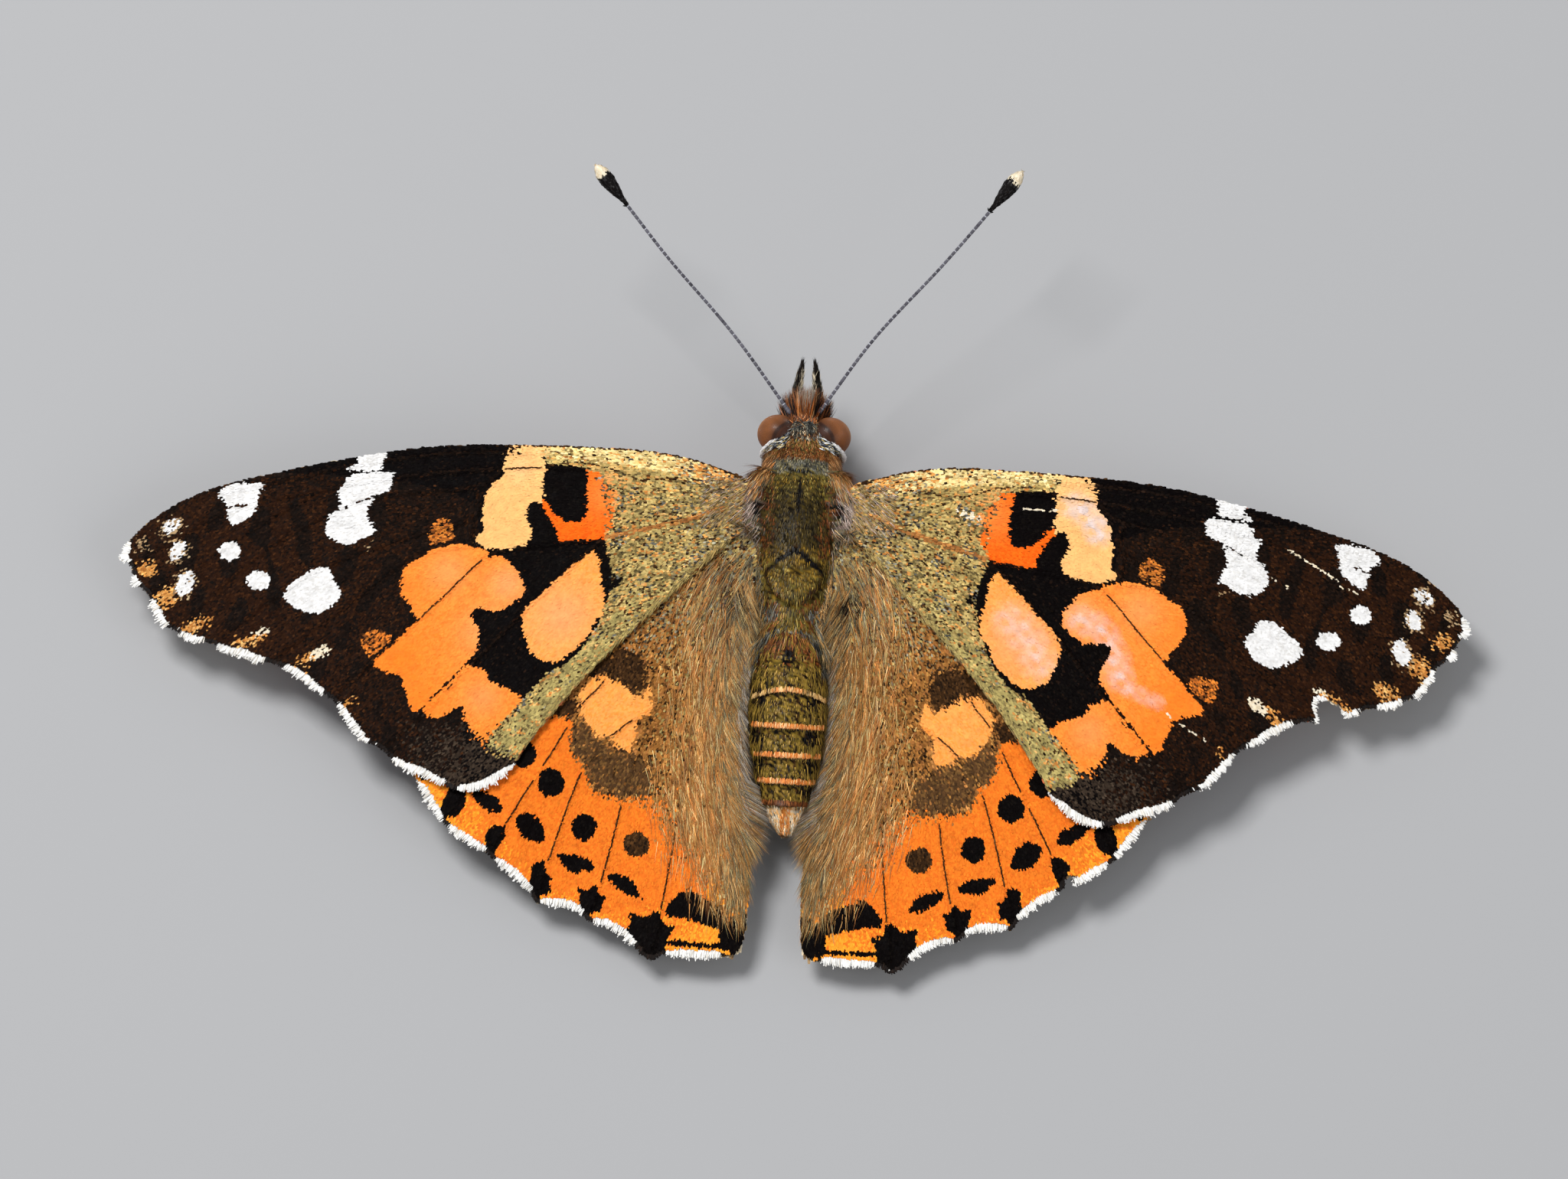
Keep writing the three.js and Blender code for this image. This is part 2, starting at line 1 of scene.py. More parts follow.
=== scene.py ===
# %% [markdown]
# # A painted lady butterfly, basking
# Vanessa cardui at life size, wings spread flat. Everything on a butterfly is covered: the wings by
# rows of flat scales, the body by hair, and each scale has one colour of its own. So each part is
# made here in two layers, as in life: a smooth closed skin, and a coat of many small meshes over it.
# Places are millimetres in the animal's own frame: +X its right, +Y its head, +Z up, floor at 0.

# %% Load the frame
import math

import bpy
import numpy as np
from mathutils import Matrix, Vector
from mathutils.geometry import delaunay_2d_cdt


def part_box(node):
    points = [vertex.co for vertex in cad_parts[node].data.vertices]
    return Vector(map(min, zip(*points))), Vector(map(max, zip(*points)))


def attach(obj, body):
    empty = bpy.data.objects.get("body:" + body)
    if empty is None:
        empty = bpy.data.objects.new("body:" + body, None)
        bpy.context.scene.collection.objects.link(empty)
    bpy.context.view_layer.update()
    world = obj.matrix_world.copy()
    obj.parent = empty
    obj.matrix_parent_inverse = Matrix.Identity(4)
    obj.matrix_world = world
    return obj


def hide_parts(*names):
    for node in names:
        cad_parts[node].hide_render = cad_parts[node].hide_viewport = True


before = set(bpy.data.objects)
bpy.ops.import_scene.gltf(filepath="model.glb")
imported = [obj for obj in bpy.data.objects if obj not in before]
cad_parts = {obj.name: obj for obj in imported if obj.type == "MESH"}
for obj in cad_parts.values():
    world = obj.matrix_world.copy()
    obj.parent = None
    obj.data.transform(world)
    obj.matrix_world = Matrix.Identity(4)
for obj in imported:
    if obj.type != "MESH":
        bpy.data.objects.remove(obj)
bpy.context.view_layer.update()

# %% [markdown]
# The solids stand in a frame whose origin is the middle of their footprint. The thorax is where both
# frames are known: its middle is x = 0 and its front face, the neck, is at NECK_Y. All pieces are
# worked out in millimetres and go through placed() just before they become a mesh.

# %% From the animal's millimetres to the frame's metres
MM = 0.001
NECK_Y = 2.25
thorax_low, thorax_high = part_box("thorax")
SHIFT = np.array([(thorax_low.x + thorax_high.x) / 2, thorax_high.y - NECK_Y * MM, 0])
SIDES = {"left": -1, "right": 1}


def placed(points):
    return np.asarray(points, float) * MM + SHIFT


print("the animal's own origin lies at", SHIFT.round(6))

# %% [markdown]
# The camera looks from behind and steeply down, 68 degrees over the horizon, with a long lens as in
# close-up work from a distance. The lens follows from the scale: 0.036 mm a pixel at the body.

# %% Camera
VIEW_FROM = {"azimuth": 3.5, "elevation": 68.0, "distance": 0.6}
LOOKED_AT = [-0.5, -3.96, 3.0]
PICTURE_WIDTH = 2048
MM_PER_PIXEL = 0.036
SENSOR = 36.0


def make_camera():
    data = bpy.data.cameras.new("camera")
    camera = bpy.data.objects.new("camera", data)
    bpy.context.collection.objects.link(camera)
    turn, rise = math.radians(VIEW_FROM["azimuth"]), math.radians(VIEW_FROM["elevation"])
    back = Vector((math.sin(turn) * math.cos(rise), -math.cos(turn) * math.cos(rise), math.sin(rise)))
    data.sensor_width = SENSOR
    data.lens = SENSOR * VIEW_FROM["distance"] / (PICTURE_WIDTH * MM_PER_PIXEL * MM)
    camera.location = Vector(placed(LOOKED_AT)) + back * VIEW_FROM["distance"]
    camera.rotation_mode = "QUATERNION"
    camera.rotation_quaternion = (-back).to_track_quat("-Z", "Y")
    data.clip_start, data.clip_end = 0.01, 20
    bpy.context.scene.camera = camera
    print("lens", round(data.lens, 1), "mm")


make_camera()

# %% [markdown]
# The floor is one plain pale sheet. The light is that of a bright hazy day: a wide lamp from the
# upper left that gives soft shadows to the lower right, a weaker one from the other side, and an even
# sky. Colours go to the picture unchanged, because scales are as vivid as paint.

# %% Floor and light
FLOOR_GREY = 0.385
LAMPS = {"key": ((-0.16, 0.10, 0.42), 0.16, 1.9), "fill": ((0.30, -0.22, 0.30), 0.30, 0.5)}
SKY = (0.93, 0.96, 1.0, 1)
SKY_STRENGTH = 0.4


def make_stage():
    data = bpy.data.meshes.new("floor")
    reach = 1.5
    data.from_pydata([(-reach, -reach, 0), (reach, -reach, 0), (reach, reach, 0), (-reach, reach, 0)],
                     [], [(0, 1, 2, 3)])
    floor = bpy.data.objects.new("floor", data)
    bpy.context.collection.objects.link(floor)
    finish = bpy.data.materials.new("pale_floor")
    finish.use_nodes = True
    surface = finish.node_tree.nodes["Principled BSDF"]
    surface.inputs["Base Color"].default_value = (FLOOR_GREY, FLOOR_GREY, FLOOR_GREY * 1.015, 1)
    surface.inputs["Roughness"].default_value = 0.85
    data.materials.append(finish)
    for name, (spot, size, power) in LAMPS.items():
        lamp = bpy.data.lights.new(name, "AREA")
        lamp.size, lamp.energy = size, power
        rig = bpy.data.objects.new(name, lamp)
        rig.location = spot
        rig.rotation_mode = "QUATERNION"
        rig.rotation_quaternion = (-Vector(spot)).to_track_quat("-Z", "Y")
        bpy.context.collection.objects.link(rig)
    world = bpy.data.worlds.new("sky")
    world.use_nodes = True
    world.node_tree.nodes["Background"].inputs["Color"].default_value = SKY
    world.node_tree.nodes["Background"].inputs["Strength"].default_value = SKY_STRENGTH
    bpy.context.scene.world = world
    bpy.context.scene.view_settings.view_transform = "Standard"


make_stage()

# %% [markdown]
# Every outline, marking and limb is a smooth line through a few points, so one spline serves them all.
# evenly() then walks along such a line in equal steps, and within() tells which points a closed line
# holds.

# %% Lines
def spline(points, steps=8, closed=False):
    """A smooth line through points (Catmull-Rom), with so many steps from each to the next."""
    p = np.asarray(points, float)
    if closed:
        a, b, c, d = np.roll(p, 1, 0), p, np.roll(p, -1, 0), np.roll(p, -2, 0)
    else:
        full = np.vstack([2 * p[0] - p[1], p, 2 * p[-1] - p[-2]])
        a, b, c, d = full[:-3], full[1:-2], full[2:-1], full[3:]
    a, b, c, d = (q[:, None] for q in (a, b, c, d))
    t = (np.arange(steps) / steps)[None, :, None]
    line = 0.5 * (2 * b + (c - a) * t + (2 * a - 5 * b + 4 * c - d) * t**2
                  + (3 * b - a - 3 * c + d) * t**3)
    line = line.reshape(-1, p.shape[1])
    return line if closed else np.vstack([line, p[-1]])


def evenly(line, step, closed=False):
    """Points at an even spacing along a line, the direction at each, and how far along it is."""
    if closed:
        line = np.vstack([line, line[:1]])
    along = np.concatenate([[0], np.cumsum(np.linalg.norm(np.diff(line, axis=0), axis=1))])
    count = max(2, round(along[-1] / step))
    at = np.linspace(0, along[-1], count + 1)[: count if closed else None]

    def point(s):
        s = s % along[-1] if closed else np.clip(s, 0, along[-1])
        return np.stack([np.interp(s, along, line[:, k]) for k in range(line.shape[1])], 1)

    reach = step / 2
    direction = point(at + reach) - point(at - reach)
    direction /= np.linalg.norm(direction, axis=1, keepdims=True)
    return point(at), direction, at / along[-1]


def within(x, y, loop):
    """Which points a closed line holds."""
    held = np.zeros(x.shape, bool)
    low, high = loop.min(0), loop.max(0)
    near = (x > low[0]) & (x < high[0]) & (y > low[1]) & (y < high[1])
    px, py = x[near], y[near]
    odd = np.zeros(px.shape, bool)
    for (ax, ay), (bx, by) in zip(loop, np.roll(loop, -1, 0)):
        if ay != by:
            odd ^= ((ay > py) != (by > py)) & (px < (bx - ax) * (py - ay) / (by - ay) + ax)
    held[near] = odd
    return held


# %% [markdown]
# ## Growing the coat
# A forewing's upper side has some forty-two thousand scales here, and the body ninety thousand hairs
# and scales. In Blender such a crowd is best made by Geometry Nodes: a mesh of bare vertices holds one
# vertex for each scale, with its lie, size and colour as attributes, and the tree puts the same small
# shape on each, realises it, bends it and gives it a spot on the bake map. A particle system would be
# lost in the export, and a loop over whole meshes would take minutes.

# %% Helpers for node trees
def add(tree, kind, inputs=None, **settings):
    """One node. settings are its own choices, inputs are plain values or sockets of other nodes."""
    node = tree.nodes.new(kind)
    for name, value in settings.items():
        setattr(node, name, value)
    for name, value in (inputs or {}).items():
        if isinstance(value, bpy.types.NodeSocket):
            tree.links.new(value, node.inputs[name])
        else:
            node.inputs[name].default_value = value
    return node


def new_tree(name, inputs):
    """An empty tree that takes geometry and these inputs, and the node that hands them in."""
    tree = bpy.data.node_groups.new(name, "GeometryNodeTree")
    tree.interface.new_socket("Geometry", in_out="INPUT", socket_type="NodeSocketGeometry")
    for label, kind, value in inputs:
        socket = tree.interface.new_socket(label, in_out="INPUT", socket_type=kind)
        if value is not None:
            socket.default_value = value
    tree.interface.new_socket("Geometry", in_out="OUTPUT", socket_type="NodeSocketGeometry")
    return tree, tree.nodes.new("NodeGroupInput")


def end_tree(tree, geometry, material):
    done = add(tree, "GeometryNodeSetMaterial", {"Geometry": geometry, "Material": material})
    result = tree.nodes.new("NodeGroupOutput")
    tree.links.new(done.outputs[0], result.inputs[0])


def attribute(tree, name, kind="FLOAT_VECTOR"):
    node = add(tree, "GeometryNodeInputNamedAttribute", {"Name": name}, data_type=kind)
    return next(s for s in node.outputs if s.name == "Attribute" and s.enabled)


def flat_plate(tree, root, tip):
    """A flat plate, 1 by 1, widest half way, and so wide at its root and its tip."""
    grid = add(tree, "GeometryNodeMeshGrid", {"Size X": 1, "Size Y": 1, "Vertices X": 2, "Vertices Y": 3})
    plate = add(tree, "GeometryNodeTransform",
                {"Geometry": grid.outputs["Mesh"], "Translation": (0, 0.5, 0)})
    spot = add(tree, "ShaderNodeSeparateXYZ", {0: add(tree, "GeometryNodeInputPosition").outputs[0]})
    width = add(tree, "ShaderNodeFloatCurve", {"Value": spot.outputs["Y"]})
    outline = width.mapping.curves[0].points
    outline[0].location, outline[1].location = (0, root), (1, tip)
    outline.new(0.5, 1)
    width.mapping.update()
    across = add(tree, "ShaderNodeMath", {0: spot.outputs["X"], 1: width.outputs[0]}, operation="MULTIPLY")
    shaped = add(tree, "ShaderNodeCombineXYZ", {"X": across.outputs[0], "Y": spot.outputs["Y"]})
    return add(tree, "GeometryNodeSetPosition",
               {"Geometry": plate.outputs[0], "Position": shaped.outputs[0]}).outputs[0]


def small_scale(tree):
    return flat_plate(tree, 0.5, 0.72)


def small_blade(tree):
    return flat_plate(tree, 0.8, 0.12)


def small_hair(tree):
    """A three-sided spike along Y, 1 long and 1 wide at its root."""
    cone = add(tree, "GeometryNodeMeshCone", {
        "Vertices": 3, "Side Segments": 2, "Radius Top": 0, "Radius Bottom": 0.5, "Depth": 1},
        fill_type="NONE")
    lying = add(tree, "GeometryNodeTransform", {
        "Geometry": cone.outputs["Mesh"], "Rotation": (-math.pi / 2, 0, 0)})
    return lying.outputs[0]


def small_bead(tree):
    """A round bead, 1 across, its poles on Y."""
    ball = add(tree, "GeometryNodeMeshUVSphere", {"Segments": 8, "Rings": 6, "Radius": 0.5})
    lying = add(tree, "GeometryNodeTransform", {
        "Geometry": ball.outputs["Mesh"], "Rotation": (-math.pi / 2, 0, 0)})
    return lying.outputs[0]


# %% [markdown]
# The tree is the same for scales, hairs and beads. After the instances are realised it uses what each
# vertex still knows: how far along its scale it sits, and where that scale's root is on the map. The
# bend is added there, so that a long hair curves over and isn't a stiff spike.

# %% One tree for each kind of small thing
PATCH = 0.003  # a scale's spot on the bake map


def growing_tree(name, shape):
    tree, given = new_tree(name, [("Bend", "NodeSocketFloat", 1.0), ("Patch", "NodeSocketFloat", PATCH),
                                  ("Finish", "NodeSocketMaterial", None)])
    spot = add(tree, "ShaderNodeSeparateXYZ", {0: add(tree, "GeometryNodeInputPosition").outputs[0]})
    local = add(tree, "ShaderNodeCombineXYZ", {"X": spot.outputs["X"], "Y": spot.outputs["Y"]})
    known = add(tree, "GeometryNodeStoreNamedAttribute", {
        "Geometry": shape(tree), "Name": "on_it", "Value": local.outputs[0]},
        data_type="FLOAT_VECTOR", domain="POINT")
    lie = add(tree, "FunctionNodeAxesToRotation", {
        "Primary Axis": attribute(tree, "lie"), "Secondary Axis": attribute(tree, "up")},
        primary_axis="Y", secondary_axis="Z")
    crowd = add(tree, "GeometryNodeInstanceOnPoints", {
        "Points": given.outputs["Geometry"], "Instance": known.outputs[0],
        "Rotation": lie.outputs[0], "Scale": attribute(tree, "size")})
    real = add(tree, "GeometryNodeRealizeInstances", {0: crowd.outputs[0]})
    on_it = attribute(tree, "on_it")
    along = add(tree, "ShaderNodeSeparateXYZ", {0: on_it}).outputs["Y"]
    squared = add(tree, "ShaderNodeMath", {0: along, 1: 2.0}, operation="POWER")
    amount = add(tree, "ShaderNodeMath", {0: squared.outputs[0], 1: given.outputs["Bend"]},
                 operation="MULTIPLY")
    push = add(tree, "ShaderNodeVectorMath", {0: attribute(tree, "bend"), "Scale": amount.outputs[0]},
               operation="SCALE")
    bent = add(tree, "GeometryNodeSetPosition", {"Geometry": real.outputs[0], "Offset": push.outputs[0]})
    patch = add(tree, "ShaderNodeVectorMath", {0: on_it, "Scale": given.outputs["Patch"]},
                operation="SCALE")
    on_map = add(tree, "ShaderNodeVectorMath", {0: attribute(tree, "root_on_map"), 1: patch.outputs[0]})
    mapped = add(tree, "GeometryNodeStoreNamedAttribute", {
        "Geometry": bent.outputs[0], "Name": "OFBake", "Value": on_map.outputs[0]},
        data_type="FLOAT2", domain="CORNER")
    end_tree(tree, mapped.outputs[0], given.outputs["Finish"])
    return tree


TREES = {
    "scale": growing_tree("grow_scales", small_scale),
    "blade": growing_tree("grow_blades", small_blade),
    "hair": growing_tree("grow_hairs", small_hair),
    "bead": growing_tree("string_beads", small_bead),
}
print("trees:", *TREES)


# %% [markdown]
# grow() makes one coat piece from arrays: the roots, the lie (where each tip points), the up side, the
# size (width, length, thickness), the bend at the tip and the colour. plain() takes the modifier's
# result as a plain mesh, which is what the rest of the work needs.

# %% From roots to a coat
def unit(v):
    return v / np.maximum(np.linalg.norm(v, axis=1, keepdims=True), 1e-12)


def columns(*parts):
    """A table with these columns, of which some may be given as a single number."""
    return np.stack(np.broadcast_arrays(*parts), 1)


def keep(name, data, nodes=()):
    """Makes an object of a finished mesh, on the butterfly's one body."""
    piece = bpy.data.objects.new(name, data)
    bpy.context.collection.objects.link(piece)
    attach(piece, "root")
    if nodes:
        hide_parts(*nodes)


def plain(holder, tree, material):
    """The plain mesh that a tree makes of an object. The object itself is then removed."""
    modifier = holder.modifiers.new("grow", "NODES")
    modifier.node_group = tree
    sockets = {s.name: s.identifier for s in tree.interface.items_tree if s.in_out == "INPUT"}
    modifier[sockets["Finish"]] = material
    depsgraph = bpy.context.evaluated_depsgraph_get()
    data = bpy.data.meshes.new_from_object(
        holder.evaluated_get(depsgraph), preserve_all_data_layers=True, depsgraph=depsgraph)
    holder.modifiers.clear()
    bpy.data.objects.remove(holder)
    return data


def give(data, name, values, kind="FLOAT_VECTOR"):
    """Stores one value for each point."""
    layer = data.attributes.new(name, kind, "POINT")
    field = "color" if kind == "FLOAT_COLOR" else "vector"
    layer.data.foreach_set(field, np.ascontiguousarray(values, np.float32).ravel())


def give_colour(data, colours):
    give(data, "mark", np.hstack([colours, np.ones((len(colours), 1))]), "FLOAT_COLOR")


def grow(name, kind, material, slot, roots, lie, up, size, bend, colour, on_map):
    count = len(roots)
    data = bpy.data.meshes.new(name + "_roots")
    data.vertices.add(count)
    data.vertices.foreach_set("co", placed(roots).astype(np.float32).ravel())
    give(data, "lie", unit(lie))
    give(data, "up", unit(up))
    give(data, "size", np.broadcast_to(size, (count, 3)) * MM)
    give(data, "bend", np.broadcast_to(bend, (count, 3)) * MM)
    give_colour(data, colour)
    give(data, "root_on_map", np.hstack([on_map, np.zeros((count, 1))]))
    holder = bpy.data.objects.new(name + "_roots", data)
    bpy.context.collection.objects.link(holder)
    mesh = plain(holder, TREES[kind], material)
    mesh.name = name
    for spent in ("lie", "up", "size", "bend", "root_on_map"):
        if spent in mesh.attributes:
            mesh.attributes.remove(mesh.attributes[spent])
    keep(name, mesh)
    print(f"{name}: {count} of kind {kind}, {len(mesh.polygons)} faces")


# %% [markdown]
# ## Colour
# A butterfly's colour is a mosaic. A patch that looks olive is a mix of ochre, brown, black and grey
# scales, and a patch that looks orange is nearly one tone. So a finish here is a palette: shares of a
# few tones, with how much their brightness varies. pick() draws one for each scale. Tones are written
# as they look in daylight, 0 to 255, and turned into the light that they reflect.

# %% Palettes
def tone(*seen):
    c = np.array(seen) / 255
    return np.where(c <= 0.04045, c / 12.92, ((c + 0.055) / 1.055) ** 2.4)


PALETTES = {
    "soot": (0.25, [(0.6, 20, 12, 8), (0.25, 30, 18, 11), (0.15, 12, 8, 6)]),
    "rust": (0.2, [(0.45, 42, 22, 10), (0.4, 34, 17, 8), (0.15, 56, 31, 14)]),
    "ink": (0.2, [(0.8, 7, 4, 4), (0.2, 13, 9, 7)]),
    "olive": (0.12, [(0.38, 188, 164, 102), (0.32, 166, 142, 84), (0.18, 136, 114, 66), (0.03, 60, 52, 36),
                     (0.09, 200, 158, 88)]),
    "reed": (0.1, [(0.4, 176, 158, 96), (0.35, 158, 142, 86), (0.2, 128, 114, 70), (0.05, 66, 58, 40)]),
    "ochre": (0.16, [(0.34, 168, 112, 54), (0.28, 146, 94, 44), (0.18, 116, 76, 36), (0.08, 66, 44, 24),
                     (0.12, 190, 134, 68)]),
    "root": (0.2, [(0.3, 160, 138, 92), (0.25, 126, 112, 82), (0.2, 84, 76, 62), (0.15, 150, 146, 124),
                   (0.1, 36, 34, 34)]),
    "straw": (0.1, [(0.6, 220, 196, 134), (0.25, 202, 174, 108), (0.05, 120, 96, 56),
                    (0.1, 232, 212, 156)]),
    "rufous": (0.16, [(0.5, 172, 112, 58), (0.3, 146, 92, 48), (0.2, 196, 132, 70)]),
    "ember": (0.06, [(0.7, 248, 106, 22), (0.3, 244, 94, 16)]),
    "cream": (0.05, [(0.8, 251, 194, 124), (0.2, 248, 182, 112)]),
    "apricot": (0.04, [(0.75, 254, 164, 82), (0.25, 252, 154, 66)]),
    "orange": (0.05, [(0.7, 253, 142, 54), (0.3, 249, 130, 44)]),
    "deep": (0.2, [(0.45, 208, 122, 46), (0.3, 176, 96, 38), (0.25, 104, 58, 26)]),
    "tangerine": (0.07, [(0.65, 240, 124, 36), (0.35, 232, 112, 32)]),
    "gold": (0.07, [(0.6, 252, 160, 46), (0.4, 250, 146, 38)]),
    "white": (0.03, [(0.8, 232, 230, 228), (0.2, 218, 215, 211)]),
    "lace": (0.05, [(0.85, 240, 238, 233), (0.15, 218, 211, 200)]),
    "umber": (0.25, [(0.5, 54, 34, 16), (0.3, 74, 48, 24), (0.2, 32, 20, 10)]),
    "sepia": (0.16, [(0.45, 88, 60, 34), (0.3, 72, 50, 30), (0.25, 110, 78, 42)]),
    "shade": (0.16, [(0.5, 118, 102, 62), (0.5, 96, 82, 50)]),
    "ash": (0.2, [(0.5, 54, 43, 34), (0.3, 42, 33, 26), (0.2, 66, 54, 43)]),
    "bone": (0.07, [(0.6, 236, 222, 196), (0.4, 222, 204, 172)]),
    "rose": (0.07, [(0.6, 234, 136, 92), (0.4, 226, 120, 76)]),
    "tan": (0.14, [(0.5, 206, 142, 72), (0.3, 178, 112, 52), (0.2, 224, 172, 104)]),
    "mist": (0.16, [(0.35, 160, 148, 134), (0.3, 130, 118, 104), (0.2, 188, 178, 164), (0.15, 96, 82, 66)]),
    "hay": (0.22, [(0.35, 186, 138, 76), (0.3, 158, 114, 60), (0.2, 206, 174, 122), (0.15, 104, 82, 52)]),
    "cream_ring": (0.14, [(0.45, 226, 186, 122), (0.35, 196, 146, 82), (0.2, 120, 92, 48)]),
    "blush": (0.14, [(0.35, 178, 154, 142), (0.25, 148, 126, 112), (0.25, 204, 186, 174),
                     (0.15, 110, 84, 68)]),
    "hazel": (0.14, [(0.5, 168, 138, 100), (0.3, 144, 114, 80), (0.2, 188, 162, 124)]),
    "moss": (0.3, [(0.3, 112, 98, 42), (0.3, 84, 72, 30), (0.15, 148, 128, 66), (0.25, 44, 37, 18)]),
    "loden": (0.35, [(0.35, 58, 47, 19), (0.3, 84, 68, 28), (0.35, 30, 24, 11)]),
    "bay": (0.3, [(0.4, 108, 58, 24), (0.35, 70, 37, 16), (0.25, 138, 82, 38)]),
    "gilt": (0.25, [(0.4, 138, 106, 34), (0.35, 108, 82, 26), (0.25, 70, 53, 18)]),
    "sage": (0.2, [(0.4, 140, 130, 96), (0.3, 108, 102, 76), (0.15, 170, 158, 124), (0.15, 66, 64, 56)]),
    "fox": (0.3, [(0.35, 148, 82, 38), (0.25, 112, 60, 28), (0.2, 178, 110, 56), (0.12, 72, 42, 24),
                  (0.08, 206, 160, 110)]),
    "russet": (0.25, [(0.4, 160, 104, 54), (0.25, 124, 78, 40), (0.2, 190, 142, 92), (0.15, 104, 82, 52)]),
    "flecks": (0.15, [(0.45, 18, 18, 24), (0.2, 104, 110, 120), (0.2, 224, 226, 224),
                      (0.15, 216, 188, 118)]),
    "smoke": (0.22, [(0.35, 100, 98, 88), (0.3, 66, 67, 64), (0.15, 142, 138, 122), (0.2, 32, 33, 32)]),
    "buff": (0.1, [(0.5, 206, 184, 146), (0.3, 182, 158, 120), (0.2, 226, 208, 176)]),
    "tawny": (0.18, [(0.35, 196, 142, 78), (0.3, 170, 118, 62), (0.2, 214, 166, 104), (0.15, 122, 82, 42)]),
    "fleck": (0.2, [(0.5, 142, 114, 42), (0.3, 112, 92, 36), (0.2, 172, 136, 62)]),
    "ring": (0.14, [(0.45, 224, 136, 62), (0.3, 200, 112, 48), (0.25, 240, 190, 130)]),
    "slate": (0.12, [(0.7, 84, 82, 90), (0.3, 66, 64, 72)]),
    "leg": (0.12, [(0.5, 198, 172, 130), (0.3, 176, 150, 108), (0.2, 214, 192, 152)]),
    "foot": (0.15, [(0.6, 150, 112, 72), (0.4, 118, 86, 54)]),
}


def pick(name, count, rng):
    spread, tones = PALETTES[name]
    shares = np.array([t[0] for t in tones])
    chosen = rng.choice(len(tones), count, p=shares / shares.sum())
    colours = np.array([tone(*t[1:]) for t in tones])[chosen]
    return colours * np.exp(rng.normal(0, spread, (count, 1)))


def tint(colour, seen, share):
    """The colours with a share of one tone mixed in."""
    share = share[:, None]
    return colour * (1 - share) + tone(*seen) * share


def ramp(v, start, end):
    """0 before the start and 1 beyond the end, whichever of them is larger."""
    return np.clip((v - start) / (end - start), 0, 1)


def clouds(x, y, size, seed):
    """Soft patches from 0 to 1 over the plane, about size across."""
    rng = np.random.default_rng(seed)
    total = np.zeros_like(x)
    waves = 7
    for _ in range(waves):
        turn, phase = rng.uniform(0, 2 * math.pi, 2)
        k = 2 * math.pi / size * rng.uniform(0.6, 1.5)
        total += np.sin(k * (x * math.cos(turn) + y * math.sin(turn)) + phase)
    return np.clip(0.5 + total / waves, 0, 1)


def streaks(x, y, hub, seed):
    """Soft streaks from 0 to 1 that run away from a hub, like the rays of a fan."""
    dx, dy = x - hub[0], y - hub[1]
    return clouds(np.arctan2(dy, dx) / 0.035, np.hypot(dx, dy) / 0.8, 1.0, seed)


def strands(x, y, seed, width=0.12, length=0.7):
    """Noise from 0 to 1 that is drawn out along the body, like strands of hair."""
    return clouds(x / width, y / length, 1.0, seed)


def locks(colour, x, y, seed):
    """The colours of hairs, shaded so that the hairs seem to lie in locks, small ones in large ones."""
    fine, broad = strands(x, y, seed), strands(x, y, seed + 1, 0.5, 1.5)
    return colour * (0.45 + 0.65 * fine + 0.45 * broad)[:, None]


print(len(PALETTES), "palettes")

# %% [markdown]
# The finishes are matt. The colour comes from the attribute that each scale carries, a little mottled
# by noise, and the roughness and a fine bump come from noise too, at the size of a scale's own ribs.
# Black wing scales trap the light between their ribs, so the wings have next to no shine.

# %% Materials
def coat_material(name, roughness, shine, grain, bump, gloss=0.0):
    finish = bpy.data.materials.new(name)
    finish.use_nodes = True
    tree = finish.node_tree
    surface = tree.nodes["Principled BSDF"]
    where = add(tree, "ShaderNodeTexCoord").outputs["Object"]
    mottle = add(tree, "ShaderNodeTexNoise", {"Vector": where, "Scale": grain, "Detail": 3.0})
    mark = add(tree, "ShaderNodeAttribute", attribute_name="mark")

    def spread(low, high):
        return add(tree, "ShaderNodeMapRange", {"Value": mottle.outputs["Fac"], "From Min": 0.3,
                                                "From Max": 0.7, "To Min": low, "To Max": high}).outputs[0]

    mixed = add(tree, "ShaderNodeVectorMath", {0: mark.outputs["Color"], "Scale": spread(0.88, 1.1)},
                operation="SCALE")
    tree.links.new(mixed.outputs[0], surface.inputs["Base Color"])
    tree.links.new(spread(roughness - 0.08, roughness + 0.08), surface.inputs["Roughness"])
    ribs = add(tree, "ShaderNodeTexNoise", {"Vector": where, "Scale": grain * 6, "Detail": 2.0})
    relief = add(tree, "ShaderNodeBump", {"Height": ribs.outputs["Fac"], "Strength": bump,
                                          "Distance": 0.00002})
    tree.links.new(relief.outputs[0], surface.inputs["Normal"])
    surface.inputs["Specular IOR Level"].default_value = shine
    surface.inputs["Coat Weight"].default_value = gloss
    surface.inputs["Coat Roughness"].default_value = 0.08
    return finish


MATERIALS = {
    "wing_skin": coat_material("wing_skin", 0.62, 0.02, 2500, 0.15),
    "wing_scales": coat_material("wing_scales", 0.6, 0.025, 2500, 0.2),
    "fringe": coat_material("fringe_scales", 0.7, 0.15, 3000, 0.1),
    "hair": coat_material("body_hair", 0.5, 0.22, 3000, 0.15),
    "skin": coat_material("body_skin", 0.7, 0.05, 2500, 0.4),
    "horn": coat_material("dark_horn", 0.42, 0.4, 3500, 0.3, gloss=0.15),
    "eye": coat_material("compound_eye", 0.45, 0.35, 2500, 0.05, gloss=0.1),
}
print(len(MATERIALS), "materials")

# %% [markdown]
# ## The wings
# A wing is a stiff film between raised veins. The outlines and veins are those of the real wing, as
# the solids have them, on the right side; the left wing is the mirror image, but for the tear in the
# right forewing and the nick in the right hindwing. The film rises to the wing root and droops to its
# tip, and the veins stand up as ridges.

